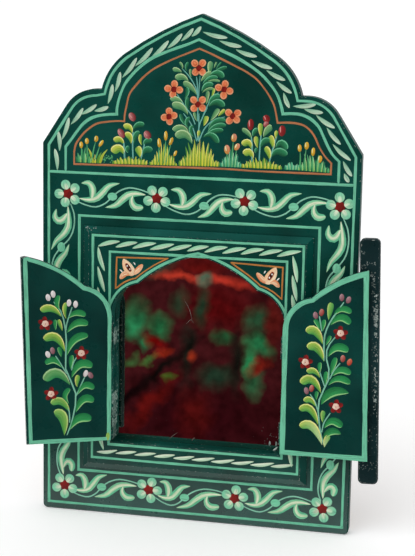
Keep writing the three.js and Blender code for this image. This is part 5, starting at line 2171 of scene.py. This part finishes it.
# %% Wear on the cover strip
FLAKE_THICKNESS = 0.3
FLAKE_WIDTHS = (0.35, 1.1)
FLAKE_HEIGHTS = (0.4, 1.6)
FLAKE_LEAN = 0.9


def strew(painting, canvas, corners, count, size, paint, within=None, broad=1.0):
    """Flakes strewn over the part of a canvas that lies behind a rectangle of the photo. They
    stay within two distances across the canvas, and broad makes each wider than it is tall."""
    low_x, low_y, high_x, high_y = corners
    for _ in range(count):
        x = hand.uniform(low_x, high_x)
        y = hand.uniform(low_y, high_y)
        place = canvas.under_pixel(x, y)
        wide = size * hand.uniform(*FLAKE_WIDTHS) * broad
        tall = size * hand.uniform(*FLAKE_HEIGHTS)
        if within:
            place.x = min(max(place.x, within[0] + wide / 2), within[1] - wide / 2)
        painting.dab(canvas, place, wide, tall, paint, hand.uniform(-FLAKE_LEAN, FLAKE_LEAN))


STRIP_GAP = 0.2 * MM
STRIP_INSIDE = SURROUND_FRONT - STRIP_GAP
strip_face = Canvas(
    (JOINTS["right_door"]["pos_m"][0], STRIP_INSIDE, BOARD_BOTTOM), (-1, 0, 0),
    opened_by(JOINTS["right_door"]))
strip_wear = Painting("strip_wear", "right_door", FLAKE_THICKNESS)
# Each cluster: its rectangle on the photo, how many flakes, their size and their paint
RUBBED_PARTS = (
    ((361, 251, 368, 254), 9, 0.7, RUBBED_GREY),
    ((362, 262, 377, 266), 22, 0.7, RUBBED_GREY),
    ((361, 265, 366, 269), 8, 0.7, RUBBED_GREY),
    ((366, 404, 377, 462), 26, 0.6, RUBBED_GREY),
    ((361, 462, 377, 471), 20, 0.7, RUBBED_GREY),
)
KNOCKED_EDGE = (
    ((370.4, 272, 375.0, 294), 26, 0.7, RUBBED_GREY),
    ((371.6, 272, 376.8, 410), 70, 0.45, RUBBED_GREY),
    ((374.6, 295, 376.8, 304), 9, 0.8, PEELED_GREY),
    ((373.6, 305, 377.2, 328), 26, 1.0, RUBBED_GREY),
    ((375.0, 306, 377.2, 326), 20, 1.1, PEELED_GREY),
    ((374.6, 331, 376.8, 338), 8, 0.8, PEELED_GREY),
    ((374.4, 345, 376.8, 364), 12, 0.7, RUBBED_GREY),
    ((374.0, 366, 376.6, 387), 12, 0.9, RUBBED_GREY),
    ((374.2, 368, 375.8, 384), 8, 0.9, PEELED_GREY),
    ((373.6, 389, 376.2, 410), 14, 0.8, RUBBED_GREY),
    ((373.8, 392, 375.6, 402), 6, 0.9, PEELED_GREY),
)
KNOCKED_BROAD = 1.7
for cluster in RUBBED_PARTS:
    strew(strip_wear, strip_face, *cluster)
for cluster in KNOCKED_EDGE:
    strew(strip_wear, strip_face, *cluster, broad=KNOCKED_BROAD)
strip_wear.finish(primer)

# %% [markdown]
# The doors' edges have rubbed the window's side wall. A canvas can stand in the depth of the
# window too, so the same strewing puts flakes on that wall, and a few on the face beside it.

# %% Wear round the window
window_left = min(place.x for place in window_edge)
window_right = max(place.x for place in window_edge)


class SideWall(Canvas):
    """A wall of the window that looks across it: u runs from the front into the depth."""

    def __init__(self, x, facing):
        super().__init__((x * MM, SURROUND_FRONT, BOARD_BOTTOM), (0, facing, 0))


left_wall = SideWall(window_left, 1)
window_wear = Painting("window_wear", "frame", FLAKE_THICKNESS)
WALL_MARGIN = 0.2
WALL_SPAN = (WALL_MARGIN, (GLASS_FRONT - SURROUND_FRONT) / MM - WALL_MARGIN)
BROAD_FLAKE = 2.2
WALL_CHALK = ("#c8e2da", "#b6d6cd", "#dcefe8", "#c0ded5")
WALL_GREY = ("#7ba198", "#a0c3ba", "#6f958c", "#93b7ae")
WALL_FLAKES = (
    ((111.4, 321, 113.4, 334), 7, 1.5, WALL_GREY),
    ((112.0, 333, 114.6, 346), 10, 1.6, WALL_CHALK),
    ((115.6, 325, 118.2, 331), 6, 1.8, WALL_GREY),
    ((114.6, 331, 118.0, 341), 10, 1.8, WALL_CHALK),
    ((112.0, 346, 114.0, 392), 12, 1.1, WALL_GREY),
    ((111.9, 390, 113.2, 440), 30, 1.5, WALL_CHALK),
    ((115.4, 391, 118.2, 404), 12, 1.7, WALL_CHALK),
    ((114.2, 400, 118.2, 434), 30, 2.0, WALL_GREY),
    ((114.6, 402, 118.2, 433), 22, 1.6, WALL_CHALK),
)
for cluster in WALL_FLAKES:
    strew(window_wear, left_wall, *cluster, WALL_SPAN, BROAD_FLAKE)
FACE_REACH = 5
BESIDE_WINDOW = (window_right, window_right + FACE_REACH)
FACE_FLAKES = (
    ((280.2, 336, 282, 346), 8, 0.8, RUBBED_GREY),
    ((280.2, 352, 282, 366), 5, 0.8, RUBBED_GREY),
    ((280, 400, 282, 436), 15, 0.8, RUBBED_GREY),
)
for cluster in FACE_FLAKES:
    strew(window_wear, surround_face, *cluster, BESIDE_WINDOW)
RIM_CHIPS = (
    ((85.6, 226.2, 88.4, 228.6), 6, 0.7, PEELED_GREY),
    ((87.4, 228.0, 91.6, 231.2), 6, 0.7, PEELED_GREY),
    ((93.4, 226.4, 96.0, 228.2), 6, 0.7, PEELED_GREY),
)
for cluster in RIM_CHIPS:
    strew(window_wear, surround_face, *cluster)
window_wear.finish(primer)

# %% [markdown]
# A mirror this old has scratches in its silver, and paint was smeared on it where the frame was
# touched up. Both are strokes on a canvas that lies on the glass.

# %% Scratches on the glass
glass_face = Canvas((0, GLASS_FRONT, BOARD_BOTTOM), (1, 0, 0))
SCRATCHED = ("#6f5f5a", "#8b7b75")
GLASS_SMEARS = (
    (0.35, SCRATCHED, ((184.0, 299.0), (190.0, 311.0), (192.5, 324.0))),
    (0.3, SCRATCHED, ((186.0, 324.0), (191.0, 319.5), (194.0, 323.5))),
    (0.45, SCRATCHED, ((168.0, 440.0), (172.5, 436.0), (177.5, 432.5))),
    (0.6, SCRATCHED, ((191.5, 441.0), (193.0, 439.0), (195.0, 437.5))),
    (1.7, PEELED_GREY, ((269.8, 441.0), (269.8, 443.5), (269.2, 446.0))),
    (1.5, PEELED_GREY, ((276.0, 441.5), (276.4, 444.0), (275.8, 446.5))),
    (1.5, CHALK_WHITE, ((272.5, 450.5), (275.0, 449.5), (277.5, 446.8))),
)
SPECKS = ((262, 425, 279, 452), 16, 0.5, PEELED_GREY)
smears = Painting("scratches_on_the_glass", "frame")
for width, paint, points in GLASS_SMEARS:
    places = [glass_face.under_pixel(x, y) for x, y in points]
    smears.stroke(glass_face, places, width, paint, LENS)
strew(smears, glass_face, *SPECKS)
smears.finish(primer)

# %% Measures and finish
size_file = {"cad": CAD_BOUNDS, "visual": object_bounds()}
low, high = size_file["visual"]
print("dressed size in mm:", [round((b - a) / MM, 1) for a, b in zip(low, high)])
